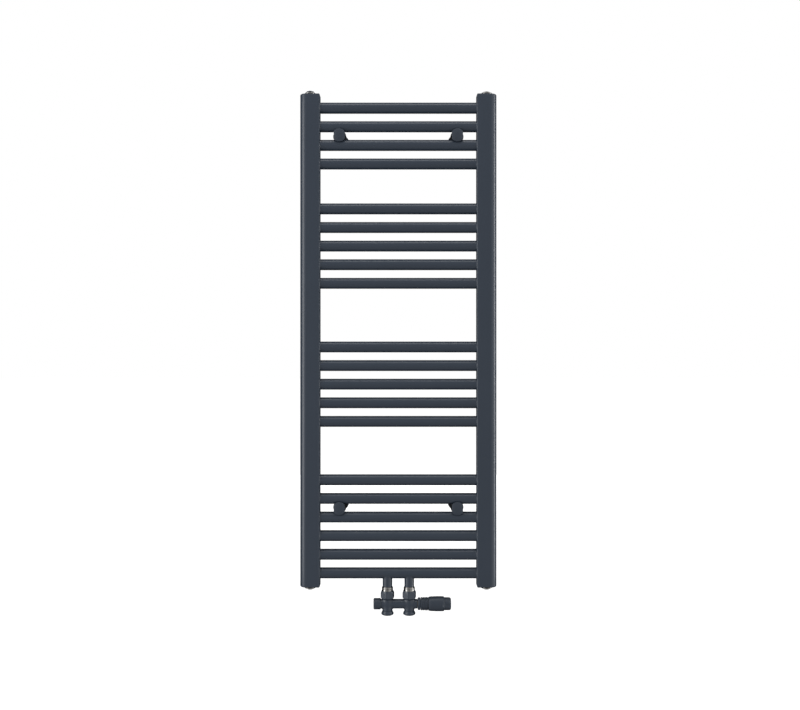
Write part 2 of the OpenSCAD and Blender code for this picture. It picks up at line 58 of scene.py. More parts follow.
tubeNames = sorted(n for n in frame["nodes"] if n.startswith("tube_"))
tubeBoxes = [nodeBox(n) for n in tubeNames]
tubeCentres = [(low + high) / 2 for low, high in tubeBoxes]
tubeRadius = (tubeBoxes[0][1][2] - tubeBoxes[0][0][2]) / 2
tubeY = tubeCentres[0][1]
lowestTube = tubeCentres[-1][2]
rightLow, rightHigh = nodeBox("right_collector")
platesLow, platesHigh = nodeBox("collector_end_plates")
innerX = rightLow[0]
outerX = rightHigh[0]
bodyLow, bodyHigh = nodeBox("valve_body")
ringLow, ringHigh = nodeBox("head_coupling_ring")
valveZ = (ringLow[2] + ringHigh[2]) / 2
socketLow, socketHigh = nodeBox("pipe_sockets")
pipeX = socketHigh[0] - (socketHigh[1] - socketLow[1]) / 2
capsLow, capsHigh = nodeBox("front_clamp_caps")


def soundMesh(name, points, quads, tris=None, sharp=35):
    # Vertices and faces go in as whole arrays; the sign of the enclosed volume turns the faces outwards.
    points = np.asarray(points, np.float64) * mm
    quads = np.asarray(quads, np.int64).reshape(-1, 4)
    tris = np.zeros((0, 3), np.int64) if tris is None else np.asarray(tris, np.int64).reshape(-1, 3)
    halves = np.concatenate([quads[:, :3], quads[:, [0, 2, 3]], tris])
    a, b, c = points[halves[:, 0]], points[halves[:, 1]], points[halves[:, 2]]
    if np.einsum("ij,ij->i", a, np.cross(b, c)).sum() < 0:
        quads = quads[:, ::-1]
        tris = tris[:, ::-1]
    mesh = bpy.data.meshes.new(name)
    mesh.vertices.add(len(points))
    mesh.vertices.foreach_set("co", points.astype(np.float32).ravel())
    loops = np.concatenate([quads.ravel(), tris.ravel()]).astype(np.int32)
    counts = np.concatenate([np.full(len(quads), 4), np.full(len(tris), 3)]).astype(np.int32)
    mesh.loops.add(len(loops))
    mesh.loops.foreach_set("vertex_index", loops)
    mesh.polygons.add(len(counts))
    mesh.polygons.foreach_set("loop_start", np.concatenate([[0], np.cumsum(counts)[:-1]]).astype(np.int32))
    mesh.polygons.foreach_set("use_smooth", np.ones(len(counts), bool))
    mesh.update(calc_edges=True)
    mesh.validate()
    mesh.set_sharp_from_angle(angle=math.radians(sharp))
    piece = bpy.data.objects.new(name, mesh)
    bpy.context.scene.collection.objects.link(piece)
    return piece


def ringFaces(rows, columns, closedRows=False):
    # Quads between neighbouring rings; closedRows joins the last ring to the first.
    r = np.arange(rows if closedRows else rows - 1)[:, None]
    c = np.arange(columns)[None, :]
    nextR, nextC = (r + 1) % rows, (c + 1) % columns
    return np.stack([r * columns + c, r * columns + nextC, nextR * columns + nextC, nextR * columns + c],
                    axis=-1).reshape(-1, 4)


def closedSurface(name, rings, sharp=35):
    # rings is (rows, columns, 3): closed rings carried along a path, with a fan on each end.
    rows, columns = rings.shape[:2]
    points = np.concatenate([rings.reshape(-1, 3), rings[0].mean(0)[None], rings[-1].mean(0)[None]])
    c = np.arange(columns)
    nextC = (c + 1) % columns
    first, last = rows * columns, rows * columns + 1
    low = np.stack([nextC, c, np.full(columns, first)], axis=-1)
    top = (rows - 1) * columns
    high = np.stack([top + c, top + nextC, np.full(columns, last)], axis=-1)
    return soundMesh(name, points, ringFaces(rows, columns), np.concatenate([low, high]), sharp)


def hollowSurface(name, rings, sharp=35):
    # rings is (rows, columns, 3): the profile is a closed loop, so the last ring joins the first.
    return soundMesh(name, rings.reshape(-1, 3), ringFaces(*rings.shape[:2], closedRows=True), None, sharp)


def roundedProfile(corners, closed=False, steps=5):
    # A polyline of [position, radius, fillet] corners; each corner becomes an arc tangent to both sides.
    corners = [np.array(c, float) for c in corners]
    count = len(corners)
    out = []
    for i, corner in enumerate(corners):
        fillet = corner[2]
        if fillet <= 0 or (not closed and i in (0, count - 1)):
            out.append(corner[:2][None])
            continue
        before = corners[i - 1][:2] - corner[:2]
        after = corners[(i + 1) % count][:2] - corner[:2]
        lb, la = np.linalg.norm(before), np.linalg.norm(after)
        before, after = before / lb, after / la
        half = math.acos(float(np.clip(before @ after, -1, 1))) / 2
        reach = min(fillet / math.tan(half), 0.49 * lb, 0.49 * la)
        radius = reach * math.tan(half)
        centre = corner[:2] + (before + after) / np.linalg.norm(before + after) * radius / math.sin(half)
        start, end = corner[:2] + before * reach - centre, corner[:2] + after * reach - centre
        sweep = math.atan2(start[0] * end[1] - start[1] * end[0], float(start @ end))
        t = np.linspace(0, 1, steps)[:, None] * sweep
        turned = np.concatenate([start[0] * np.cos(t) - start[1] * np.sin(t),
                                 start[0] * np.sin(t) + start[1] * np.cos(t)], axis=1)
        out.append(centre + turned)
    return np.concatenate(out)


axes = {  # for each spin axis: along, and the two directions that the angle turns through
    "+x": ((1, 0, 0), (0, 1, 0), (0, 0, 1)),
    "-x": ((-1, 0, 0), (0, 1, 0), (0, 0, 1)),
    "+z": ((0, 0, 1), (1, 0, 0), (0, 1, 0)),
    "-z": ((0, 0, -1), (1, 0, 0), (0, 1, 0)),
    "-y": ((0, -1, 0), (1, 0, 0), (0, 0, 1)),
    "+y": ((0, 1, 0), (1, 0, 0), (0, 0, 1)),
}


def spun(profile, origin, axis, radiusAt=None, segments=96):
    # Point = origin + along * position + radius * (cos angle, sin angle).
    # radiusAt may bend the radius with the angle.
    along, u, v = (np.array(a, float) for a in axes[axis])
    angle = np.arange(segments) * tau / segments
    position, radius = profile[:, 0][:, None], profile[:, 1][:, None] * np.ones((1, segments))
    if radiusAt is not None:
        radius = radiusAt(position, radius, angle[None, :])
    return (np.array(origin, float) + position[..., None] * along
            + (radius * np.cos(angle))[..., None] * u + (radius * np.sin(angle))[..., None] * v)


def raised(base, *corners):
    # Profile corners whose positions are counted from a base.
    return [[base + position, radius, fillet] for position, radius, fillet in corners]


def turned(name, corners, origin, axis, radiusAt=None, segments=96, hollow=False, sharp=35, steps=5):
    profile = roundedProfile(corners, closed=hollow, steps=steps)
    maker = hollowSurface if hollow else closedSurface
    return maker(name, spun(profile, origin, axis, radiusAt, segments), sharp)


def softMin(a, b, k):
    # The smaller of two distances, with a round blend of width k where they meet.
    h = np.clip(0.5 + 0.5 * (b - a) / k, 0, 1)
    return b * (1 - h) + a * h - k * h * (1 - h)


def softMax(a, b, k):
    return -softMin(-a, -b, k)


landing = {  # how a field's vertices settle: tries, probe and longest move as parts of a cell
    "tries": 3, "probe": 0.05, "longest": 0.45,
}


def fieldSurface(name, field, low, high, step, sharp=180):
    # The surface where field = 0, negative inside: one vertex in each grid cell that the surface crosses,
    # moved onto the surface along the gradient, and one quad for each grid edge that it crosses.
    low, high = np.array(low, float), np.array(high, float)
    count = np.ceil((high - low) / step).astype(int) + 1
    gx, gy, gz = (low[i] + np.arange(count[i]) * step for i in range(3))
    value = field(gx[:, None, None], gy[None, :, None], gz[None, None, :]) + np.zeros(tuple(count))
    inside = value < 0
    corner = [(i, j, k) for i in (0, 1) for j in (0, 1) for k in (0, 1)]
    cut = tuple(c - 1 for c in count)

    def at(array, o):
        return array[o[0]:o[0] + cut[0], o[1]:o[1] + cut[1], o[2]:o[2] + cut[2]]

    full = sum(at(inside, o).astype(np.int8) for o in corner)
    cells = np.argwhere((full > 0) & (full < 8))
    number = np.full(cut, -1, np.int64)
    number[tuple(cells.T)] = np.arange(len(cells))
    total = np.zeros((len(cells), 3))
    hits = np.zeros(len(cells))
    for a in corner:
        for axis in range(3):
            if a[axis]:
                continue
            b = tuple(1 if i == axis else a[i] for i in range(3))
            va = value[tuple((cells + a).T)]
            vb = value[tuple((cells + b).T)]
            crossed = (va < 0) != (vb < 0)
            t = np.where(crossed, va / np.where(crossed, va - vb, 1), 0)
            spot = np.array(a, float) + np.zeros((len(cells), 3))
            spot[:, axis] = t
            total += spot * crossed[:, None]
            hits += crossed
    points = low + (cells + total / hits[:, None]) * step
    e = step * landing["probe"]
    for _ in range(landing["tries"]):
        x, y, z = points.T
        f = field(x, y, z)
        g = np.stack([field(x + e, y, z) - field(x - e, y, z), field(x, y + e, z) - field(x, y - e, z),
                      field(x, y, z + e) - field(x, y, z - e)], axis=1) / (2 * e)
        move = -f[:, None] * g / np.maximum((g * g).sum(1), 0.05)[:, None]
        size = np.linalg.norm(move, axis=1, keepdims=True)
        points += move * np.minimum(1, landing["longest"] * step / np.maximum(size, 1e-9))
    quads = []
    for axis in range(3):
        a, b = (axis + 1) % 3, (axis + 2) % 3
        shape = [slice(None)] * 3
        shape[axis] = slice(0, -1)
        ahead = [slice(None)] * 3
        ahead[axis] = slice(1, None)
        here = inside[tuple(shape)]
        edges = np.argwhere(here != inside[tuple(ahead)])
        edges = edges[(edges[:, a] > 0) & (edges[:, b] > 0)
                      & (edges[:, a] < cut[a]) & (edges[:, b] < cut[b])]
        around = []
        for da, db in ((-1, -1), (0, -1), (0, 0), (-1, 0)):
            cell = edges.copy()
            cell[:, a] += da
            cell[:, b] += db
            around.append(number[tuple(cell.T)])
        quad = np.stack(around, axis=1)
        back = ~here[tuple(edges.T)]
        quad[back] = quad[back][:, ::-1]
        quads.append(quad)
    return soundMesh(name, points, np.concatenate(quads), None, sharp)


def boxField(x, y, z, centre, half, rounding):
    # Distance to a box with rounded edges: how far outside each half size, joined as a length.
    qx = np.abs(x - centre[0]) - half[0] + rounding
    qy = np.abs(y - centre[1]) - half[1] + rounding
    qz = np.abs(z - centre[2]) - half[2] + rounding
    outside = np.sqrt(np.maximum(qx, 0) ** 2 + np.maximum(qy, 0) ** 2 + np.maximum(qz, 0) ** 2)
    return outside + np.minimum(np.maximum(qx, np.maximum(qy, qz)), 0) - rounding


def rodField(u, v, w, radius, start, end, rounding):
    # Distance to a rod along w with rounded rims.
    side = np.sqrt(u * u + v * v) - radius + rounding
    tip = np.abs(w - (start + end) / 2) - (end - start) / 2 + rounding
    return (np.minimum(np.maximum(side, tip), 0)
            + np.sqrt(np.maximum(side, 0) ** 2 + np.maximum(tip, 0) ** 2) - rounding)


def placed(piece, material, body, *nodes):
    # Gives a piece its finish and slot, fixes it to its body and stands it in for its CAD nodes.
    piece.data.materials.clear()
    piece.data.materials.append(material)
    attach(piece, body)
    if nodes:
        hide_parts(*nodes)
    return piece


def nodeOnce(name, first):
    # A CAD node that holds several alike pieces is stood in for once, by the first of them.
    return [name] if first else []


def newGroup(name, inputs, outputs):
    # Each input has its first value and each output its size: 1 a number, 3 a vector, 4 a colour.
    group = bpy.data.node_groups.new(name, "ShaderNodeTree")
    kinds = {1: "NodeSocketFloat", 3: "NodeSocketVector", 4: "NodeSocketColor"}
    for label, value in inputs.items():
        socket = group.interface.new_socket(name=label, in_out="INPUT", socket_type=kinds[np.size(value)])
        socket.default_value = value
    for label, size in outputs.items():
        group.interface.new_socket(name=label, in_out="OUTPUT", socket_type=kinds[size])
    return group, group.nodes.new("NodeGroupInput"), group.nodes.new("NodeGroupOutput")


def node(tree, kind, **values):
    made = tree.nodes.new(kind)
    for key, value in values.items():
        if key.startswith("in_"):
            made.inputs[key[3:].replace("_", " ")].default_value = value
        else:
            setattr(made, key, value)
    return made


def maths(tree, operation, a, b=None, clamp=False):
    made = tree.nodes.new("ShaderNodeMath")
    made.operation = operation
    made.use_clamp = clamp
    for socket, value in zip(made.inputs, (a, b)):
        if value is None:
            continue
        if isinstance(value, (int, float)):
            socket.default_value = value
        else:
            tree.links.new(value, socket)
    return made.outputs[0]


def wire(tree, *pairs):
    for source, target in pairs:
        tree.links.new(source, target)


def objectNoise(tree, **values):
    # Noise that is fixed to the object, in metres.
    noise = node(tree, "ShaderNodeTexNoise", **values)
    wire(tree, (node(tree, "ShaderNodeTexCoord").outputs["Object"], noise.inputs["Vector"]))
    return noise


def mixedColor(tree, factor):
    # A colour mix: its node, for the two colours A and B, and its output.
    mix = node(tree, "ShaderNodeMix", data_type="RGBA")
    wire(tree, (factor, mix.inputs["Factor"]))
    return mix, [s for s in mix.outputs if s.type == "RGBA"][0]


def bumped(tree, height):
    # Heights in metres become a normal.
    bump = node(tree, "ShaderNodeBump", in_Strength=1.0, in_Distance=1.0)
    wire(tree, (height, bump.inputs["Height"]))
    return bump.outputs["Normal"]


def finePeelGroup():
    # Powder coat skin: waves of orange peel, a fine grain over them, and slow drifts of gloss and tone.
    group, enter, leave = newGroup("finePeel", {
        "Peel Size": 0.0016, "Peel Height": 0.00003, "Grain Size": 0.00035, "Grain Height": 0.00001,
        "Roughness": 0.4, "Rough Drift": 0.05, "Color": (0.04, 0.05, 0.06, 1), "Tone Drift": 0.08},
        {"Color": 4, "Roughness": 1, "Normal": 3})
    heights = []
    for size, height in (("Peel Size", "Peel Height"), ("Grain Size", "Grain Height")):
        noise = objectNoise(group, in_Detail=2.0, in_Roughness=0.55)
        wire(group, (maths(group, "DIVIDE", 1.0, enter.outputs[size]), noise.inputs["Scale"]))
        heights.append(maths(group, "MULTIPLY", noise.outputs["Fac"], enter.outputs[height]))
    drift = objectNoise(group, in_Scale=22.0, in_Detail=3.0)
    swing = maths(group, "SUBTRACT", drift.outputs["Fac"], 0.5)
    rough = maths(group, "ADD", maths(group, "MULTIPLY", swing, enter.outputs["Rough Drift"]),
                  enter.outputs["Roughness"], clamp=True)
    tone = maths(group, "ADD", maths(group, "MULTIPLY", swing, enter.outputs["Tone Drift"]), 1.0)
    scaled = node(group, "ShaderNodeVectorMath", operation="SCALE")
    wire(group, (enter.outputs["Color"], scaled.inputs[0]), (tone, scaled.inputs["Scale"]),
         (scaled.outputs[0], leave.inputs["Color"]), (rough, leave.inputs["Roughness"]),
         (bumped(group, maths(group, "ADD", *heights)), leave.inputs["Normal"]))
    return group


def restDustGroup():
    # A thin film of dust where the surface faces up, broken by noise.
    # It lightens the colour and dulls the gloss.
    group, enter, leave = newGroup("restDust", {
        "Color": (0.04, 0.05, 0.06, 1), "Roughness": 0.4, "Amount": 0.15,
        "Dust Color": (0.30, 0.29, 0.27, 1)},
        {"Color": 4, "Roughness": 1})
    upward = node(group, "ShaderNodeSeparateXYZ")
    facing = node(group, "ShaderNodeMapRange", interpolation_type="SMOOTHSTEP")
    facing.inputs["From Min"].default_value = 0.55
    facing.inputs["From Max"].default_value = 1.0
    wire(group, (node(group, "ShaderNodeNewGeometry").outputs["Normal"], upward.inputs[0]),
         (upward.outputs["Z"], facing.inputs["Value"]))
    specks = objectNoise(group, in_Scale=900.0, in_Detail=4.0, in_Roughness=0.7)
    mask = maths(group, "MULTIPLY", maths(group, "MULTIPLY", facing.outputs[0], specks.outputs["Fac"]),
                 enter.outputs["Amount"])
    dulling = maths(group, "MULTIPLY", mask, 0.4)
    dulled = maths(group, "ADD", enter.outputs["Roughness"], dulling, clamp=True)
    mix, dusty = mixedColor(group, mask)
    wire(group, (enter.outputs["Color"], mix.inputs["A"]), (enter.outputs["Dust Color"], mix.inputs["B"]),
         (dusty, leave.inputs["Color"]), (dulled, leave.inputs["Roughness"]))
    return group


def brushedGroup():
    # Fine turning or brushing marks: stretched noise, as small changes of height and gloss.
    group, enter, leave = newGroup("brushedMarks", {
        "Stretch": (1.0, 1.0, 40.0), "Scale": 200.0, "Height": 0.000004, "Roughness": 0.2,
        "Rough Drift": 0.12},
        {"Roughness": 1, "Normal": 3})
    stretched = node(group, "ShaderNodeVectorMath", operation="MULTIPLY")
    noise = node(group, "ShaderNodeTexNoise", in_Detail=3.0, in_Roughness=0.6)
    height = maths(group, "MULTIPLY", noise.outputs["Fac"], enter.outputs["Height"])
    swing = maths(group, "SUBTRACT", noise.outputs["Fac"], 0.5)
    swing = maths(group, "MULTIPLY", swing, enter.outputs["Rough Drift"])
    rough = maths(group, "ADD", swing, enter.outputs["Roughness"], clamp=True)
    wire(group, (node(group, "ShaderNodeTexCoord").outputs["Object"], stretched.inputs[0]),
         (enter.outputs["Stretch"], stretched.inputs[1]), (stretched.outputs[0], noise.inputs["Vector"]),
         (enter.outputs["Scale"], noise.inputs["Scale"]), (rough, leave.inputs["Roughness"]),
         (bumped(group, height), leave.inputs["Normal"]))
    return group


groups = {"peel": finePeelGroup(), "dust": restDustGroup(), "brushed": brushedGroup()}


def newMaterial(name):
    material = bpy.data.materials.new(name)
    material.use_nodes = True
    tree = material.node_tree
    return material, tree, tree.nodes["Principled BSDF"]


def useGroup(tree, key, **values):
    made = tree.nodes.new("ShaderNodeGroup")
    made.node_tree = groups[key]
    for label, value in values.items():
        made.inputs[label.replace("_", " ")].default_value = value
    return made


def coatedMaterial(name, finish):
    # Painted metal or satin plastic: peel and grain from one group, dust from the other.
    material, tree, shader = newMaterial(name)
    peel = useGroup(tree, "peel", Color=finish["color"] + (1,), Roughness=finish["roughness"],
                    Peel_Size=finish["peelSize"], Peel_Height=finish["peelHeight"],
                    Grain_Size=finish["grainSize"], Grain_Height=finish["grainHeight"])
    dust = useGroup(tree, "dust", Amount=finish["dust"])
    wire(tree, (peel.outputs["Color"], dust.inputs["Color"]),
         (peel.outputs["Roughness"], dust.inputs["Roughness"]),
         (dust.outputs["Color"], shader.inputs["Base Color"]),
         (dust.outputs["Roughness"], shader.inputs["Roughness"]),
         (peel.outputs["Normal"], shader.inputs["Normal"]))
    shader.inputs["Specular IOR Level"].default_value = finish["specular"]
    return material


def metalMaterial(name, finish):
    # Bare metal: fine marks from one group, and a slow drift between two tones.
    material, tree, shader = newMaterial(name)
    marks = useGroup(tree, "brushed", Stretch=finish["stretch"], Scale=finish["scale"],
                     Height=finish["height"], Roughness=finish["roughness"], Rough_Drift=finish["drift"])
    mix, toned = mixedColor(tree, objectNoise(tree, in_Scale=60.0, in_Detail=2.0).outputs["Fac"])
    mix.inputs["A"].default_value = finish["color"] + (1,)
    mix.inputs["B"].default_value = finish["shade"] + (1,)
    wire(tree, (marks.outputs["Roughness"], shader.inputs["Roughness"]),
         (marks.outputs["Normal"], shader.inputs["Normal"]), (toned, shader.inputs["Base Color"]))
    shader.inputs["Metallic"].default_value = 1.0
    return material


finishes = {  # colours are linear, sizes and heights are metres
    "powderCoat": dict(color=(0.037, 0.050, 0.072), roughness=0.30, specular=0.5, dust=0.10,
                       peelSize=0.0022, peelHeight=0.000035, grainSize=0.00045, grainHeight=0.000004),
    "satinPlastic": dict(color=(0.034, 0.045, 0.064), roughness=0.42, specular=0.45, dust=0.08,
                         peelSize=0.0012, peelHeight=0.000008, grainSize=0.00025, grainHeight=0.000006),
    # Near-black plastic, darker than the caps: painted shade on the rear saddles, wall sleeves and rosettes,
    # standing in for the shadow they sit in behind the tubes.
    "paintedShadePlastic": dict(color=(0.010, 0.012, 0.015), roughness=0.5, specular=0.35, dust=0.12,
                        peelSize=0.0012, peelHeight=0.000008, grainSize=0.00025, grainHeight=0.000006),
    "sealRubber": dict(color=(0.012, 0.012, 0.013), roughness=0.7, specular=0.4, dust=0.2,
                       peelSize=0.0008, peelHeight=0.00001, grainSize=0.0002, grainHeight=0.00001),
}
metals = {
    "nickel": dict(color=(0.325, 0.32, 0.31), shade=(0.265, 0.26, 0.25), roughness=0.13, drift=0.10,
                   stretch=(1.0, 1.0, 30.0), scale=160.0, height=0.000003),
    "zincSteel": dict(color=(0.56, 0.57, 0.58), shade=(0.44, 0.45, 0.46), roughness=0.3, drift=0.2,
                      stretch=(1.0, 12.0, 1.0), scale=260.0, height=0.000006),
    "turnedBrass": dict(color=(0.72, 0.53, 0.24), shade=(0.58, 0.42, 0.18), roughness=0.25, drift=0.15,
                        stretch=(12.0, 1.0, 1.0), scale=240.0, height=0.000005),
}
materials = {name: coatedMaterial(name, finish) for name, finish in finishes.items()}
materials.update({name: metalMaterial(name, finish) for name, finish in metals.items()})
paint, plastic = materials["powderCoat"], materials["satinPlastic"]
nickel, steel, brass = materials["nickel"], materials["zincSteel"], materials["turnedBrass"]
print("stage: materials", flush=True)


camera = {  # distance is from the collectors' front faces, in metres
    "distance": 2.18, "lens": 43.04, "shiftX": 0.00206, "shiftY": -0.0181,
    "height": (platesLow[2] + platesHigh[2]) / 2 * mm,
}


def addCamera(values):
    data = bpy.data.cameras.new("viewCamera")
    data.lens = values["lens"]
    data.sensor_width = 36
    data.shift_x = values["shiftX"]
    data.shift_y = values["shiftY"]
    eye = bpy.data.objects.new("viewCamera", data)
    eye.location = (0, rightLow[1] * mm - values["distance"], values["height"])
    eye.rotation_euler = (math.radians(90), 0, 0)
    bpy.context.scene.collection.objects.link(eye)
    bpy.context.scene.camera = eye


def addLamp(name, place, aim, size, power, mirrored):
    data = bpy.data.lights.new(name, "AREA")
    data.shape = "RECTANGLE"
    data.size, data.size_y = size
    data.energy = power
    lamp = bpy.data.objects.new(name, data)
    lamp.location = place
    lamp.rotation_euler = (Vector(aim) - Vector(place)).to_track_quat("-Z", "Y").to_euler()
    lamp.visible_camera = False
    lamp.visible_glossy = mirrored
    bpy.context.scene.collection.objects.link(lamp)
    return lamp


def addFloor(height, size):
    # A flat pale square: nearly white where it is seen directly, and a dim grey as a source of light.
    material, tree, shader = newMaterial("paleFloor")
    shader.inputs["Base Color"].default_value = (0.30, 0.30, 0.30, 1)
    shader.inputs["Roughness"].default_value = 0.9
    path = tree.nodes.new("ShaderNodeLightPath")
    wire(tree, (path.outputs["Is Camera Ray"], shader.inputs["Emission Strength"]))
    shader.inputs["Emission Color"].default_value = (0.93, 0.93, 0.93, 1)
    side = size / 2
    mesh = bpy.data.meshes.new("floor")
    corners = [(-side, -side, height), (side, -side, height), (side, side, height), (-side, side, height)]
    mesh.from_pydata(corners, [], [(0, 1, 2, 3)])
    mesh.materials.append(material)
    floor = bpy.data.objects.new("floor", mesh)
    bpy.context.scene.collection.objects.link(floor)
    floor.visible_diffuse = False  # the soft light from below passes through
    floor.visible_glossy = False


def addWorld(values):
    # Seen directly the background is white. As light it is bright in front and almost dark from the sides
    # backwards. The front is dimmer in its middle, where its strength is
    # light - dim * clamp((dimReach - |x|) / dimFade).
    world = bpy.data.worlds.new("studio")
    bpy.context.scene.world = world
    world.use_nodes = True
    tree = world.node_tree
    tree.nodes.clear()
    way = node(tree, "ShaderNodeSeparateXYZ")
    ramp = node(tree, "ShaderNodeValToRGB")
    ramp.color_ramp.interpolation = "EASE"
    stops = values["frontToBack"]
    for _ in stops[2:]:
        ramp.color_ramp.elements.new(0.5)
    for element, (place, tone) in zip(ramp.color_ramp.elements, stops):
        element.position = (place + 1) / 2
        element.color = (tone, tone, tone, 1)
    path = tree.nodes.new("ShaderNodeLightPath")
    shown = node(tree, "ShaderNodeBackground", in_Color=(1, 1, 1, 1), in_Strength=values["seen"])
    lit = node(tree, "ShaderNodeBackground")
    sideways = maths(tree, "ABSOLUTE", way.outputs["X"])
    inward = maths(tree, "SUBTRACT", values["dimReach"], sideways)
    inside = maths(tree, "DIVIDE", inward, values["dimFade"], clamp=True)
    strength = maths(tree, "SUBTRACT", values["light"], maths(tree, "MULTIPLY", inside, values["dim"]))
    depth = maths(tree, "MULTIPLY", maths(tree, "ADD", way.outputs["Y"], 1.0), 0.5)
    mix = tree.nodes.new("ShaderNodeMixShader")
    out = tree.nodes.new("ShaderNodeOutputWorld")
    wire(tree, (node(tree, "ShaderNodeTexCoord").outputs["Generated"], way.inputs[0]),
         (depth, ramp.inputs[0]), (strength, lit.inputs["Strength"]), (ramp.outputs[0], lit.inputs["Color"]),
         (path.outputs["Is Camera Ray"], mix.inputs[0]), (lit.outputs[0], mix.inputs[1]),
         (shown.outputs[0], mix.inputs[2]), (mix.outputs[0], out.inputs[0]))


studio = {  # world tones along y from -1 to 1
    "world": dict(seen=1.0, light=0.88, dim=0.50, dimReach=0.55, dimFade=0.25,
                  frontToBack=[(-1, 1.0), (-0.15, 0.95), (0.08, 0.03), (0.5, 0.02), (1, 0.02)]),
    "floorDrop": 0.06, "floorSize": 30,
    "lamps": {  # place, aim and size in metres, power in watts, and whether gloss mirrors it
        "keyAbove": ((0.0, -0.5, 2.1), (0, 0, 0.1), (2.2, 0.7), 13, True),
        "stripLeft": ((-2.4, -1.2, 0.0), (0, 0, -0.05), (1.4, 2.6), 33, True),
        "stripRight": ((2.6, -0.15, 0.0), (0, 0, -0.05), (0.8, 2.6), 38, True),
        "fillBehind": ((0.0, 2.6, 0.0), (0, 0, -0.05), (2.6, 2.6), 60, False),
    },
}
bpy.context.scene.view_settings.view_transform = "Standard"
addCamera(camera)
addWorld(studio["world"])
addFloor(bodyLow[2] * mm - studio["floorDrop"], studio["floorSize"])
for name, (place, aim, size, power, mirrored) in studio["lamps"].items():
    addLamp(name, place, aim, size, power, mirrored)
print("stage: camera and light", flush=True)


collector = {  # millimetres
    "cornerRadius": 2.2, "endRadius": 3.0, "leastCorner": 0.15, "arcSteps": 40,
    "cornerSteps": 7, "rimSteps": 9, "levels": 40,
}


def collectorOutline(width, depth, corner, inset, steps):
    # Flat side at x = 0 with two small corner arcs, straight front and back, half circle at the far side.
    # An inset moves the whole line inwards by the same distance everywhere.
    r = depth / 2 - inset
    c = max(corner - inset, collector["leastCorner"])
    turns = collector["cornerSteps"]

    def arc(cx, cy, radius, a0, a1, n):
        t = np.linspace(a0, a1, n)
        return np.stack([cx + radius * np.cos(t), cy + radius * np.sin(t)], axis=1)

    far = arc(width - depth / 2, 0, r, -math.pi / 2, math.pi / 2, steps)
    back = arc(inset + c, r - c, c, math.pi / 2, math.pi, turns)
    front = arc(inset + c, -r + c, c, math.pi, 1.5 * math.pi, turns)
    t = np.linspace(0.1, 0.9, 9)[:, None]  # points along each straight
    lines = [a[-1] + (b[0] - a[-1]) * t for a, b in ((far, back), (back, front), (front, far))]
    return np.concatenate([far, lines[0], back, lines[1], front, lines[2]])


def makeCollector(name, side, nodes):
    # The outline is carried up the height; near each end it shrinks by endRadius * (1 - cos).
    low, high = platesLow[2], platesHigh[2]
    width, depth = outerX - innerX, rightHigh[1] - rightLow[1]
    rim = collector["endRadius"]
    t = np.linspace(0, math.pi / 2, collector["rimSteps"])
    straight = np.linspace(low + rim, high - rim, collector["levels"])[1:-1]
    heights = np.concatenate([low + rim - rim * np.sin(t[::-1]), straight, high - rim + rim * np.sin(t)])
    shrink = rim - rim * np.cos(t)
    insets = np.concatenate([shrink[::-1], np.zeros(len(straight)), shrink])
    rings = []
    for z, inset in zip(heights, insets):
        outline = collectorOutline(width, depth, collector["cornerRadius"], inset, collector["arcSteps"])
        rings.append(np.column_stack([side * (innerX + outline[:, 0]), tubeY + outline[:, 1],
                                      np.full(len(outline), z)]))
    piece = closedSurface(name, np.array(rings), sharp=40)
    return placed(piece, paint, "radiator", *nodes)


makeCollector("leftCollector", -1, ["left_collector"])
makeCollector("rightCollector", 1, ["right_collector", "collector_end_plates"])
print("stage: collectors", flush=True)


crossTube = {  # millimetres; the seam is a small fillet with a fine ripple round it
    "seamLeg": 1.7, "ripples": 56, "rippleHeight": 0.10, "segments": 224, "buried": 0.4, "flareSteps": 9,
    "straightSteps": 11, "straightShare": 0.9,
}


def makeTube(index):
    # A straight round tube that flares at both ends, where its radius grows by
    # seamLeg - sqrt(seamLeg^2 - (seamLeg - gap)^2) at that gap from the collector.
    leg = crossTube["seamLeg"]
    gap = leg * (1 - np.cos(np.linspace(0, math.pi / 2, crossTube["flareSteps"])))
    flare = leg - np.sqrt(np.maximum(leg ** 2 - (leg - gap) ** 2, 0))
    end = np.column_stack([innerX - gap, tubeRadius + flare])
    end = np.concatenate([[[innerX + crossTube["buried"], tubeRadius + flare[0]]], end])
    steps, share = crossTube["straightSteps"], crossTube["straightShare"]
    middle = np.column_stack([np.linspace(1, -1, steps) * innerX * share, np.full(steps, tubeRadius)])
    profile = np.concatenate([end, middle, (end * [-1, 1])[::-1]])

    def rippled(position, radius, angle):
        # radius + rippleHeight * sin(ripples * angle), strongest half way up the seam.
        rise = np.clip((radius - tubeRadius) / leg, 0, 1)
        seam = rise * (1 - rise) * 4
        return radius + crossTube["rippleHeight"] * seam * np.sin(crossTube["ripples"] * angle + index)

    centre = tubeCentres[index]
    piece = closedSurface("crossTube%02d" % (index + 1),
                          spun(profile, (0, centre[1], centre[2]), "+x", rippled, crossTube["segments"]))
    return placed(piece, paint, "radiator", tubeNames[index])


for tubeIndex in range(len(tubeNames)):
    makeTube(tubeIndex)
print("stage: cross tubes", flush=True)


endPlug = {  # profile corners: millimetres above the collector's end, radius, fillet
    "plug": [[-6, 9.2, 0], [1, 9.2, 0], [1, 12, 0.3], [3.5, 12, 0.8], [3.5, 9, 0.3], [4.9, 8.6, 0.5],
             [6, 6.5, 0.5], [6, 3.75, 0.2], [5.7, 3.1, 0], [2.6, 3.1, 0]],
    "seal": [[0.02, 9.3, 0.1], [0.02, 11.2, 0.4], [0.98, 11.2, 0.4], [0.98, 9.3, 0.1]],
    "ventBody": [[-6, 3.05, 0], [-6, 9.2, 0], [1, 9.2, 0], [1, 12, 0.3], [3.5, 12, 0.8], [3.5, 5.5, 0.3],
                 [7.1, 5.5, 0.4], [7.1, 3.05, 0.2]],
    "keyFlat": 3.1, "segments": 120,
}
collectorEnds = {1: platesHigh[2], -1: platesLow[2]}
endX = (innerX + outerX) / 2


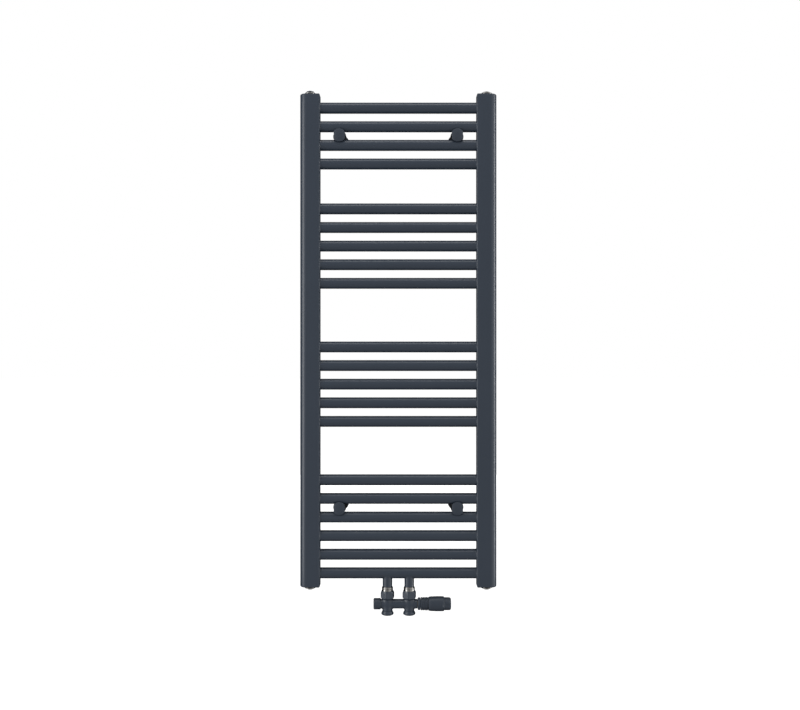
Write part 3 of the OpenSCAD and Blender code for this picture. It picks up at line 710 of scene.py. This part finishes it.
def hexagon(apothem, angle, turn=0.0):
    # Distance from the middle to a six-sided outline: apothem / cos(angle from the nearest flat's middle).
    return apothem / np.cos(np.mod(angle - turn, tau / 6) - tau / 12)


def keyedRadius(limit, turn=0.0):
    # Rings below the limit radius become a hexagon key recess; wider rings stay round.
    def bend(position, radius, angle):
        return np.where(radius <= limit, hexagon(radius, angle, turn), radius)
    return bend


def atEnd(name, corners, side, end, radiusAt=None, **more):
    # A fitting on the left or right collector's top or bottom end.
    place = (side * endX, tubeY, collectorEnds[end])
    return turned(name, corners, place, "+z" if end > 0 else "-z", radiusAt, **more)


def makePlug(name, side, end, nodes):
    key = keyedRadius(endPlug["keyFlat"] + 0.01)
    piece = atEnd(name, endPlug["plug"], side, end, key, segments=endPlug["segments"], sharp=30)
    placed(piece, nickel, "radiator", *nodes)


def makeSeal(side, end):
    # A flat ring between the collector's end and a fitting's flange.
    name = "endSeal%s%s" % ("Right" if side > 0 else "Left", "Top" if end > 0 else "Bottom")
    ring = atEnd(name, endPlug["seal"], side, end, hollow=True)
    placed(ring, materials["sealRubber"], "radiator", "plug_seals")


makePlug("plugTopRight", 1, 1, ["blind_plugs"])
makePlug("plugBottomLeft", -1, -1, [])
makePlug("plugBottomRight", 1, -1, [])
for side in (-1, 1):
    for end in (-1, 1):
        makeSeal(side, end)

vent = {  # millimetres above the collector's end; a room is the box in which a surface is looked for
    "neckRadius": 5.5, "neckGap": 0.1, "nozzleLow": 3.8, "nozzleHigh": 6.8, "nozzleRadius": 8.5,
    "nozzleEdge": 0.5, "spoutStart": 4.0, "spoutReach": 11.0, "spoutRadius": 1.2, "spoutHole": 0.6,
    "spoutBlend": 0.8, "nozzleRoom": ([-9.5, -12, 3.2], [9.5, 9.5, 7.4]), "nozzleStep": 0.28,
    "screwRadius": 2.9, "screwFoot": 1.0, "screwTop": 8.7, "slotWidth": 0.9, "slotDepth": 1.5,
    "screwRoom": ([-3.4, -3.4, 0.5], [3.4, 3.4, 9.2]), "screwStep": 0.16,
}
ventPlace = np.array([-endX, tubeY, collectorEnds[1]])


def nozzleField(x, y, z):
    # A flat ring with a round spout towards the room; the spout's bore and the ring's bore are cut out.
    v = vent
    x, y, z = x - ventPlace[0], y - ventPlace[1], z - ventPlace[2]
    middle = (v["nozzleLow"] + v["nozzleHigh"]) / 2
    ring = rodField(x, y, z, v["nozzleRadius"], v["nozzleLow"], v["nozzleHigh"], v["nozzleEdge"])
    spout = rodField(x, z - middle, -y, v["spoutRadius"], v["spoutStart"], v["spoutReach"], 0.3)
    bore = v["neckRadius"] + v["neckGap"] - np.sqrt(x * x + y * y)
    hole = np.minimum(v["spoutHole"] - np.sqrt(x * x + (z - middle) ** 2), -y)
    return softMax(softMax(softMin(ring, spout, v["spoutBlend"]), bore, 0.2), hole, 0.2)


def ventScrewField(x, y, z):
    # A round stem with a straight slot across its top.
    v = vent
    x, y, z = x - ventPlace[0], y - ventPlace[1], z - ventPlace[2]
    stem = rodField(x, y, z, v["screwRadius"], v["screwFoot"], v["screwTop"], 0.4)
    slot = boxField(x, y, z, (0, 0, v["screwTop"]), (5, v["slotWidth"] / 2, v["slotDepth"]), 0.1)
    return softMax(stem, -slot, 0.12)


ventBody = atEnd("airVentBody", endPlug["ventBody"], -1, 1, hollow=True, segments=endPlug["segments"])
placed(ventBody, nickel, "radiator", "air_vent_body")
nozzleRoom = [ventPlace + corner for corner in vent["nozzleRoom"]]
nozzle = fieldSurface("airVentNozzle", nozzleField, *nozzleRoom, vent["nozzleStep"])
placed(nozzle, plastic, "vent_nozzle", "air_vent_nozzle")
screwRoom = [ventPlace + corner for corner in vent["screwRoom"]]
ventScrew = fieldSurface("airVentScrew", ventScrewField, *screwRoom, vent["screwStep"])
placed(ventScrew, nickel, "vent_screw", "air_vent_screw")
print("stage: end fittings", flush=True)


wallPattern = [m for m in frame["record"]["mounts"] if m["name"] == "wall_fixing"][0]["dims"]
bracketX, bracketZ = wallPattern["spacing_x_mm"] / 2, wallPattern["spacing_y_mm"] / 2
capFront, capBack = capsLow[1], capsHigh[1]
saddleLow, saddleHigh = nodeBox("rear_saddles")
sleeveLength = -nodeBox("wall_sleeves")[0][1]
studLow, studHigh = nodeBox("bracket_studs")
pitchHalf = (tubeCentres[0][2] - tubeCentres[1][2]) / 2
bracket = {  # millimetres; profile corners are distance from the wall or the axis, radius, fillet
    "capRadius": capsHigh[2] - bracketZ, "capHalfWidth": capsHigh[0] - bracketX, "capCrown": 55.0,
    "capEdge": 1.6, "flatEdge": 1.1, "saddleRadius": saddleHigh[2] - bracketZ, "saddleEdge": 1.2,
    "sleeveFoot": [[0.02, 3.25, 0.2], [0.02, 11, 0.3]], "sleeveEnd": [[0, 11, 1.0], [0, 7.6, 0.4]],
    "sleeveFloor": [[6, 7.6, 0.2], [6, 3.25, 0.2]],
    "rosette": [[0.02, 11.05, 0.2], [0.02, 18, 0.3], [2, 18, 0.8], [4, 15.8, 1.6], [9, 13, 0.8],
                [9, 11.05, 0.3]],
    "studRadius": 7.5, "clampHole": 2.75, "clampHoleInset": 3.0, "spigotRadius": 5.0, "spigotHole": 5.15,
    "spigotGap": 0.15, "tubeHold": 0.05, "fit": 0.05, "grubInset": 6.0, "grubKey": 1.0,
    "grub": [[8, 0.01, 0], [8, 1.95, 0.1], [11.15, 1.95, 0.25], [11.15, 1.15, 0.1], [11, 1, 0], [9.4, 1, 0]],
    "room": 0.8, "capStep": 0.42, "saddleStep": 0.55,
}


def tubesOf(y, z, centreZ):
    # Distance to the nearer of the two gripped tubes.
    near = np.abs(z - centreZ) - pitchHalf
    return np.sqrt((y - tubeY) ** 2 + near ** 2) - tubeRadius - bracket["tubeHold"]


def clampCapField(cx, cz):
    # A round disc with a crowned front, cut flat at both sides, with the two tubes and a blind screw hole
    # cut out of its back.
    def field(x, y, z):
        b = bracket
        disc = rodField(x - cx, z - cz, y, b["capRadius"], capFront, capBack, b["capEdge"])
        crown = np.sqrt((x - cx) ** 2 + (z - cz) ** 2 + (y - capFront - b["capCrown"]) ** 2) - b["capCrown"]
        flats = np.abs(x - cx) - b["capHalfWidth"]
        hole = rodField(x - cx, z - cz, y, b["clampHole"], capFront + b["clampHoleInset"], 0, 0.1)
        shape = softMax(softMax(softMax(disc, crown, 0.8), flats, b["flatEdge"]), -tubesOf(y, z, cz), 0.3)
        return softMax(shape, -hole, 0.1)
    return field


def saddleField(cx, cz):
    # A round block behind the tubes, with both tubes, the stud's spigot and the clamp screw cut into it.
    def field(x, y, z):
        b = bracket
        block = rodField(x - cx, z - cz, y, b["saddleRadius"], saddleLow[1], saddleHigh[1], b["saddleEdge"])
        spigot = rodField(x - cx, z - cz, y, b["spigotHole"], studLow[1] - b["spigotGap"], 0, 0.1)
        screw = np.sqrt((x - cx) ** 2 + (z - cz) ** 2) - b["clampHole"]
        return softMax(softMax(block, -tubesOf(y, z, cz), 0.4), -np.minimum(spigot, screw), 0.1)
    return field


def makeBracket(side, level, first):
    # Cap, saddle and stud move with the radiator; sleeve, rosette and grub screw stay on the wall.
    b = bracket
    # The saddles, sleeves and rosettes take the near-black plastic as painted shade, darker than the caps in
    # front.
    dark = materials["paintedShadePlastic"]
    cx, cz = side * bracketX, level * bracketZ
    tag = ("Upper" if level > 0 else "Lower") + ("Right" if side > 0 else "Left")
    reach = b["capRadius"] + b["room"]
    cap = fieldSurface("clampCap" + tag, clampCapField(cx, cz),
                       (cx - reach, capFront - b["room"], cz - reach),
                       (cx + reach, capBack + b["room"], cz + reach), b["capStep"])
    placed(cap, plastic, "radiator", *nodeOnce("front_clamp_caps", first))
    saddle = fieldSurface("rearSaddle" + tag, saddleField(cx, cz),
                          (cx - reach, saddleLow[1] - b["room"], cz - reach),
                          (cx + reach, saddleHigh[1] + b["room"], cz + reach), b["saddleStep"])
    placed(saddle, dark, "radiator", *nodeOnce("rear_saddles", first))

    def alongWall(name, corners):
        return turned(name + tag, corners, (cx, 0, cz), "-y", hollow=True)

    sleeve = alongWall("wallSleeve", [
        *b["sleeveFoot"], *raised(sleeveLength, *b["sleeveEnd"]), *b["sleeveFloor"]])
    placed(sleeve, dark, "wall_mounts", *nodeOnce("wall_sleeves", first))
    rosette = alongWall("wallRosette", b["rosette"])
    placed(rosette, dark, "wall_mounts", *nodeOnce("wall_rosettes", first))
    shoulder = -saddleHigh[1] - b["fit"]
    stud = alongWall("bracketStud", [
        [-studHigh[1], b["clampHole"], 0.2], [-studHigh[1], b["studRadius"], 0.8],
        [shoulder, b["studRadius"], 0.3], [shoulder, b["spigotRadius"], 0.1],
        [-studLow[1], b["spigotRadius"], 0.3], [-studLow[1], b["clampHole"], 0.2]])
    placed(stud, steel, "radiator", *nodeOnce("bracket_studs", first))
    grub = turned("depthGrub" + tag, b["grub"], (cx, -sleeveLength + b["grubInset"], cz), "+x",
                  keyedRadius(b["grubKey"] + 0.01), segments=48)
    placed(grub, steel, "wall_mounts", *nodeOnce("depth_grub_screws", first))


for number, (side, level) in enumerate([(-1, 1), (1, 1), (-1, -1), (1, -1)]):
    makeBracket(side, level, number == 0)
print("stage: brackets", flush=True)


nutLow, nutHigh = nodeBox("union_nuts")
clampLow, clampHigh = nodeBox("pipe_clamping_nuts")
capLow, capHigh = nodeBox("lockshield_cap")
adapterLow, adapterHigh = nodeBox("union_adapters")
socketFoot = socketLow[2]
valve = {  # millimetres; a rim is profile corners: position from its base, radius, fillet
    "barRadius": 10.75, "legRadius": 11.5, "tailRadius": 9.5, "edge": 0.9, "blendWidth": 3.5,
    "pipeBore": 7.6, "threadRadius": 10.3, "legGap": 0.25, "nutGap": 0.6, "blendGap": 0.3, "bodyStep": 0.6,
    "socketRadius": 11.0, "socketBore": 9.3, "weldWidth": 1.4, "weldReach": 4.0, "weldSink": 0.4,
    "socketStep": 0.5, "adapterRadius": 12.7, "adapterBore": 6.5,
    "adapterRim": [[-4.6, 12.7, 0.2], [-4.4, 12.2, 0.2], [-3.9, 12.2, 0.2], [-3.7, 12.7, 0.2],
                   [-1.2, 12.7, 0.8], [-0.7, 11.4, 0.3], [-0.1, 11.2, 0.1], [0, 9.2, 0.1]],
    "adapterTail": 9.2, "nutFlat": 14.5, "nutTurn": math.radians(20), "nutEdge": 0.5, "nutRound": 13.0,
    "nutBore": 12.75, "nutFloor": 3.0, "tailFit": 0.05, "nutFoot": [[0, 12.6, 0.8], [3.6, 16.4, 3.0]],
    "nutHead": [[-4.4, 16.4, 4.0], [0, 13.5, 0.3]],
    "clampFlat": 13.5, "clampTurn": math.radians(8), "clampEdge": 0.6, "clampRound": 12.6,
    "clampHole": 7.8, "clampBore": 10.55, "clampFloor": 3.5,
    "clampRim": [[0, 11.2, 1.2], [1.6, 13.9, 1.8], [4.2, 14.25, 1.5], [6.2, 13.3, 1.2]],
    "chamberRadius": 8.6, "chamberStart": pipeX - 3.5, "seatRadius": 4.5, "seatLength": 8.0,
    "waterRadius": 6.0, "upperStart": 6.0, "lowerEnd": 13.0, "linkRadius": 3.2, "linkPlace": pipeX - 7.4,
    "linkDepth": 15.0,
    "through": 60.0, "hollowEdge": 0.2,
}
legFoot = clampHigh[2] + valve["legGap"]


def bodyField(x, y, z):
    # A cast H: a lying bar and two upright legs, joined by a soft minimum that leaves a round fillet.
    # Below each leg a narrower threaded end goes down into the pipe clamping nut.
    v = valve
    y, z = y - tubeY, z - valveZ
    side = np.abs(x) - pipeX
    bar = rodField(y, z, x, v["barRadius"], bodyLow[0], bodyHigh[0], v["edge"])
    legTop = nutLow[2] - v["nutGap"] - valveZ
    leg = rodField(side, y, z, v["legRadius"], legFoot - valveZ, legTop, v["edge"])
    tail = rodField(side, y, z, v["tailRadius"], 0, bodyHigh[2] - valveZ, 0.3)
    foot = rodField(side, y, z, v["threadRadius"], bodyLow[2] - valveZ, 0, 0.5)
    # The fillets stop below the union nuts, and only the narrow tails go on into them.
    blended = softMin(np.minimum(leg, foot), bar, v["blendWidth"])
    solid = np.minimum(np.maximum(blended, z - (nutLow[2] - v["blendGap"] - valveZ)), tail)
    # Inside: from each end a cross chamber and its seat, waterways above and below, and a link.
    out = np.abs(x)
    far, edge, start = v["through"], v["hollowEdge"], v["chamberStart"]
    hollows = [
        rodField(side, y, z, v["pipeBore"], -far, legFoot - valveZ + 1, edge),
        rodField(y, z, out, v["chamberRadius"], start, far, edge),
        rodField(y, z, out, v["seatRadius"], start - v["seatLength"], start + 1, edge),
        rodField(side, y, z, v["waterRadius"], v["upperStart"], far, edge),
        rodField(side, y, z, v["waterRadius"], -far, -v["lowerEnd"], edge),
        rodField(out - v["linkPlace"], y, z, v["linkRadius"], -v["linkDepth"], 0, edge),
    ]
    return softMax(solid, -np.minimum.reduce(hollows), 0.3)


valveBody = fieldSurface("valveBody", bodyField, (bodyLow[0] - 1, tubeY - 13, bodyLow[2] - 1),
                         (bodyHigh[0] + 1, tubeY + 13, bodyHigh[2] + 1), valve["bodyStep"], sharp=50)
placed(valveBody, paint, "radiator", "valve_body")


def socketField(cx):
    # A short pipe under the lowest tube; a soft minimum with the tube makes the weld outside it.
    def field(x, y, z):
        v = valve
        y = y - tubeY
        pipe = rodField(x - cx, y, z, v["socketRadius"], socketFoot, lowestTube, 0.6)
        tube = np.sqrt(y * y + (z - lowestTube) ** 2) - tubeRadius
        near = np.sqrt((x - cx) ** 2 + y * y) - v["socketRadius"] - v["weldReach"]
        solid = np.maximum(softMin(pipe, tube, v["weldWidth"]), -tube - v["weldSink"])
        solid = np.maximum(solid, near)
        return softMax(solid, v["socketBore"] - np.sqrt((x - cx) ** 2 + y * y), 0.3)
    return field


def hexed(flatDistance, turn, edge, limit):
    # The turned outline and the hexagon meet in a soft minimum, so the chamfers end in curves on each flat.
    def bend(position, radius, angle):
        return np.where(radius > limit, softMin(radius, hexagon(flatDistance, angle, turn), edge), radius)
    return bend


def makeConnection(side, first):
    # Socket, nickel adapter, union nut and pipe clamping nut of one leg.
    v = valve
    tag = "Flow" if side > 0 else "Return"
    cx = side * pipeX
    socket = fieldSurface("pipeSocket" + tag, socketField(cx), (cx - 16, tubeY - 16, socketFoot - 1),
                          (cx + 16, tubeY + 16, lowestTube), v["socketStep"], sharp=50)
    placed(socket, paint, "radiator", *nodeOnce("pipe_sockets", first))

    def upright(name, corners, radiusAt=None, **more):
        return turned(name + tag, corners, (cx, tubeY, 0), "+z", radiusAt, hollow=True, **more)

    low, high = adapterLow[2], adapterHigh[2]
    adapter = upright("unionAdapter", [
        [low, v["adapterBore"], 0.3], [low, v["adapterRadius"], 0.5], *raised(socketFoot, *v["adapterRim"]),
        [high, v["adapterTail"], 0.3], [high, v["adapterBore"], 0.3]])
    placed(adapter, nickel, "radiator", *nodeOnce("union_adapters", first))
    low, high = nutLow[2], nutHigh[2]
    tail, floor = v["tailRadius"] + v["tailFit"], low + v["nutFloor"]
    nut = upright("unionNut", [
        [low, tail, 0.2], *raised(low, *v["nutFoot"]), *raised(high, *v["nutHead"]),
        [high, v["nutBore"], 0.3], [floor, v["nutBore"], 0.1], [floor, tail, 0.1]],
        hexed(v["nutFlat"], v["nutTurn"], v["nutEdge"], v["nutRound"]), segments=240, sharp=28, steps=9)
    placed(nut, paint, "radiator", *nodeOnce("union_nuts", first))
    low, high = clampLow[2], clampHigh[2]
    floor = low + v["clampFloor"]
    clamp = upright("pipeClampNut", [
        [low, v["clampHole"], 0.5], *raised(low, *v["clampRim"]), [high, 11.2, 0.6],
        [high, v["clampBore"], 0.1], [floor, v["clampBore"], 0.1], [floor, v["clampHole"], 0.2]],
        hexed(v["clampFlat"], v["clampTurn"], v["clampEdge"], v["clampRound"]),
        segments=240, sharp=28, steps=8)
    placed(clamp, paint, "radiator", *nodeOnce("pipe_clamping_nuts", first))


makeConnection(-1, True)
makeConnection(1, False)

shieldCap = {  # millimetres along -x; the skirt covers the end of the bar
    "hollow": 9.1, "hollowTop": -2.0, "barGap": 0.1, "skirt": 10.87,
    "outside": [[-1.6, 12.7, 1.4], [0, 10.9, 1.2], [-0.25, 7.6, 0.4], [-0.25, 0.01, 0]],
}


def makeShieldCap():
    c = shieldCap
    top, foot, ledge = -capLow[0], -capHigh[0], -bodyLow[0] + c["barGap"]
    cap = turned("lockshieldCap", [
        *raised(top, [c["hollowTop"], 0.01, 0], [c["hollowTop"], c["hollow"], 0.3]),
        [ledge, c["hollow"], 0.1], [ledge, c["skirt"], 0.1],
        *raised(foot, [0, c["skirt"], 0.1], [0, 12.1, 0.4], [0.8, 12.7, 0.4]), *raised(top, *c["outside"])],
        (0, tubeY, valveZ), "-x", segments=144)
    placed(cap, plastic, "shield_cap", "lockshield_cap")


makeShieldCap()
print("stage: valve", flush=True)


baseLow, baseHigh = nodeBox("head_base")
gripLow, gripHigh = nodeBox("head_grip")
head = {  # millimetres, along +x from the pieces' own ends
    "ringRadius": 14.0, "ringBore": 9.55, "ringEdge": 1.2, "ringKnurls": 40, "knurlDepth": 0.35,
    "baseRadius": 14.8, "baseEdge": 1.2, "baseGap": 0.6, "ribs": 4, "ribStart": 3.0, "ribPitch": 4.0,
    "ribWidth": 1.6,
    "ribDepth": 1.1, "ribSlope": 0.25, "ribGrowth": 0.1, "lipHeight": 0.4, "hubRadius": 9.5,
    "capsuleBore": 6.6, "stemBore": 2.6, "flangeBore": 8.05, "fit": 0.05,
    "gripRadius": 16.8, "gripBore": 9.7, "gripCore": 7.0, "gripFloor": 26.0,
    "tipRadius": 14.4, "tipLength": 15.5,
    "gripEnd": [[-3.4, 14.4, 2.4], [-0.9, 12.8, 1.2], [0, 10.6, 0.8], [0, 8.05, 0.2], [-1.9, 8.05, 0.1],
                [-1.9, 7.0, 0.1]],
    "disc": [[-1.95, 0.01, 0], [-1.95, 7.95, 0.1], [0.1, 7.95, 0.5], [0.38, 4, 3], [0.4, 0.01, 0]],
    "flutes": 3, "fluteRadius": 12.0, "fluteReach": 7.0, "fluteFloor": 13.2, "fluteEdge": 0.5,
    "longestStep": 0.5,
}
headPlace = (0, tubeY, valveZ)


def knurled(position, radius, angle):
    # The rim's radius dips by knurlDepth * (1 - |cos(half the knurls * angle)| ^ 0.6) between rounded teeth.
    rim = np.clip((radius - head["ringRadius"] + head["ringEdge"]) / 1.0, 0, 1)
    return radius - head["knurlDepth"] * rim * (1 - np.abs(np.cos(head["ringKnurls"] / 2 * angle)) ** 0.6)


def makeCouplingRing():
    h = head
    low, high, rim = ringLow[0], ringHigh[0], h["ringRadius"] - h["ringEdge"]
    ring = turned("headCouplingRing", [
        [low, h["ringBore"], 0.1], [low, rim, 0.4], [low + 0.7, h["ringRadius"], 0.4],
        [high - 0.7, h["ringRadius"], 0.4], [high, rim, 0.4], [high, h["ringBore"], 0.1]],
        headPlace, "+x", knurled, segments=400, hollow=True)
    placed(ring, paint, "radiator", "head_coupling_ring")


def makeBase():
    # A stepped bore for the capsule, stem and insert; outside, ribs between rounded grooves.
    h = head
    start, end = ringHigh[0] + h["baseGap"], gripLow[0] - h["baseGap"]
    inner = nodeBox("sensor_capsule")[0][0] - 1
    outer = nodeBox("valve_insert")[1][0] + h["fit"]
    corners = [[baseHigh[0], h["capsuleBore"], 0.2], [inner, h["capsuleBore"], 0.1],
               [inner, h["stemBore"], 0.1], [outer, h["stemBore"], 0.1], [outer, h["flangeBore"], 0.1],
               [baseLow[0], h["flangeBore"], 0.1], [baseLow[0], h["hubRadius"], 0.1],
               [start, h["hubRadius"], 0.3],
               [start, h["baseRadius"] - h["baseEdge"], 0.5], [start + 1.0, h["baseRadius"], 0.5]]
    for rib in range(h["ribs"]):
        place = start + h["ribStart"] + rib * h["ribPitch"]
        crest, floor = h["baseRadius"] + h["ribGrowth"] * rib, h["baseRadius"] - h["ribDepth"]
        corners += raised(place, [0, crest, 0.3], [h["ribSlope"], floor, 0.2],
                          [h["ribWidth"] - h["ribSlope"], floor, 0.2], [h["ribWidth"], crest, 0.3])
    corners += [[end, h["baseRadius"] + h["lipHeight"], 0.5], [end, h["hubRadius"], 0.2],
                [baseHigh[0], h["hubRadius"], 0.3]]
    base = turned("headBase", corners, headPlace, "+x", segments=144, hollow=True)
    placed(base, plastic, "radiator", "head_base")


tipStart = gripHigh[0] - head["tipLength"]


def fluted(position, radius, angle):
    # Each flute is a ball-ended groove parallel to the head; its near side along a ray at this angle is
    # reach * cos - sqrt(r^2 - reach^2 * sin^2), where r shrinks as a quarter circle at the groove's start.
    h = head
    reach = h["fluteFloor"] + h["fluteRadius"]
    before = np.clip(tipStart - h["fluteReach"] + h["fluteRadius"] - position, 0, h["fluteRadius"])
    r = np.sqrt(np.maximum(h["fluteRadius"] ** 2 - before ** 2, 1e-6))
    share = tau / h["flutes"]
    turn = np.mod(angle - math.pi + share / 2, share) - share / 2
    inside = r ** 2 - (reach * np.sin(turn)) ** 2
    groove = np.where(inside > 0, reach * np.cos(turn) - np.sqrt(np.maximum(inside, 0)), 99.0)
    return np.where(radius > 12, softMin(radius, groove, h["fluteEdge"]), radius)


def refined(profile, longest):
    # Points are added so that no step of the closed profile is longer than this.
    following = np.roll(profile, -1, axis=0)
    pieces = np.maximum(np.ceil(np.linalg.norm(following - profile, axis=1) / longest).astype(int), 1)
    index = np.repeat(np.arange(len(profile)), pieces)
    step = (np.arange(len(index)) - np.repeat(np.cumsum(pieces) - pieces, pieces)) / pieces[index]
    return profile[index] + (following - profile)[index] * step[:, None]


def makeGrip():
    # A slightly barrelled sleeve with a slimmer tip; its points are close enough to follow the flutes.
    h = head
    low = gripLow[0]
    profile = roundedProfile([
        *raised(low, [0, h["gripBore"], 0.1], [0, h["baseRadius"] + h["lipHeight"], 0.5],
                [5, h["gripRadius"] - 0.5, 3.0], [20, h["gripRadius"], 3.0]),
        [tipStart - 1.6, h["gripRadius"] - 0.1, 0.7], [tipStart, h["tipRadius"], 0.5],
        *raised(gripHigh[0], *h["gripEnd"]),
        *raised(low, [h["gripFloor"], h["gripCore"], 0.1], [h["gripFloor"], h["gripBore"], 0.1])],
        closed=True, steps=7)
    rings = spun(refined(profile, h["longestStep"]), headPlace, "+x", fluted, 240)
    placed(hollowSurface("headGrip", rings, sharp=40), plastic, "grip", "head_grip")
    disc = turned("headTipDisc", raised(gripHigh[0], *h["disc"]), headPlace, "+x")
    placed(disc, plastic, "grip", "head_tip_disc")


makeCouplingRing()
makeBase()
makeGrip()
print("stage: thermostatic head", flush=True)


innerFinish = {
    "flow_divider": steel, "clamp_screws": steel, "valve_stem": steel, "sensor_capsule": steel,
    "olives": brass, "valve_insert": brass, "lockshield_spindle": brass,
    "union_seals": materials["sealRubber"], "valve_disc": materials["sealRubber"],
}
for name, finish in innerFinish.items():  # their CAD meshes stay
    frame["nodes"][name].data.materials.clear()
    frame["nodes"][name].data.materials.append(finish)
print("stage: inner pieces", flush=True)
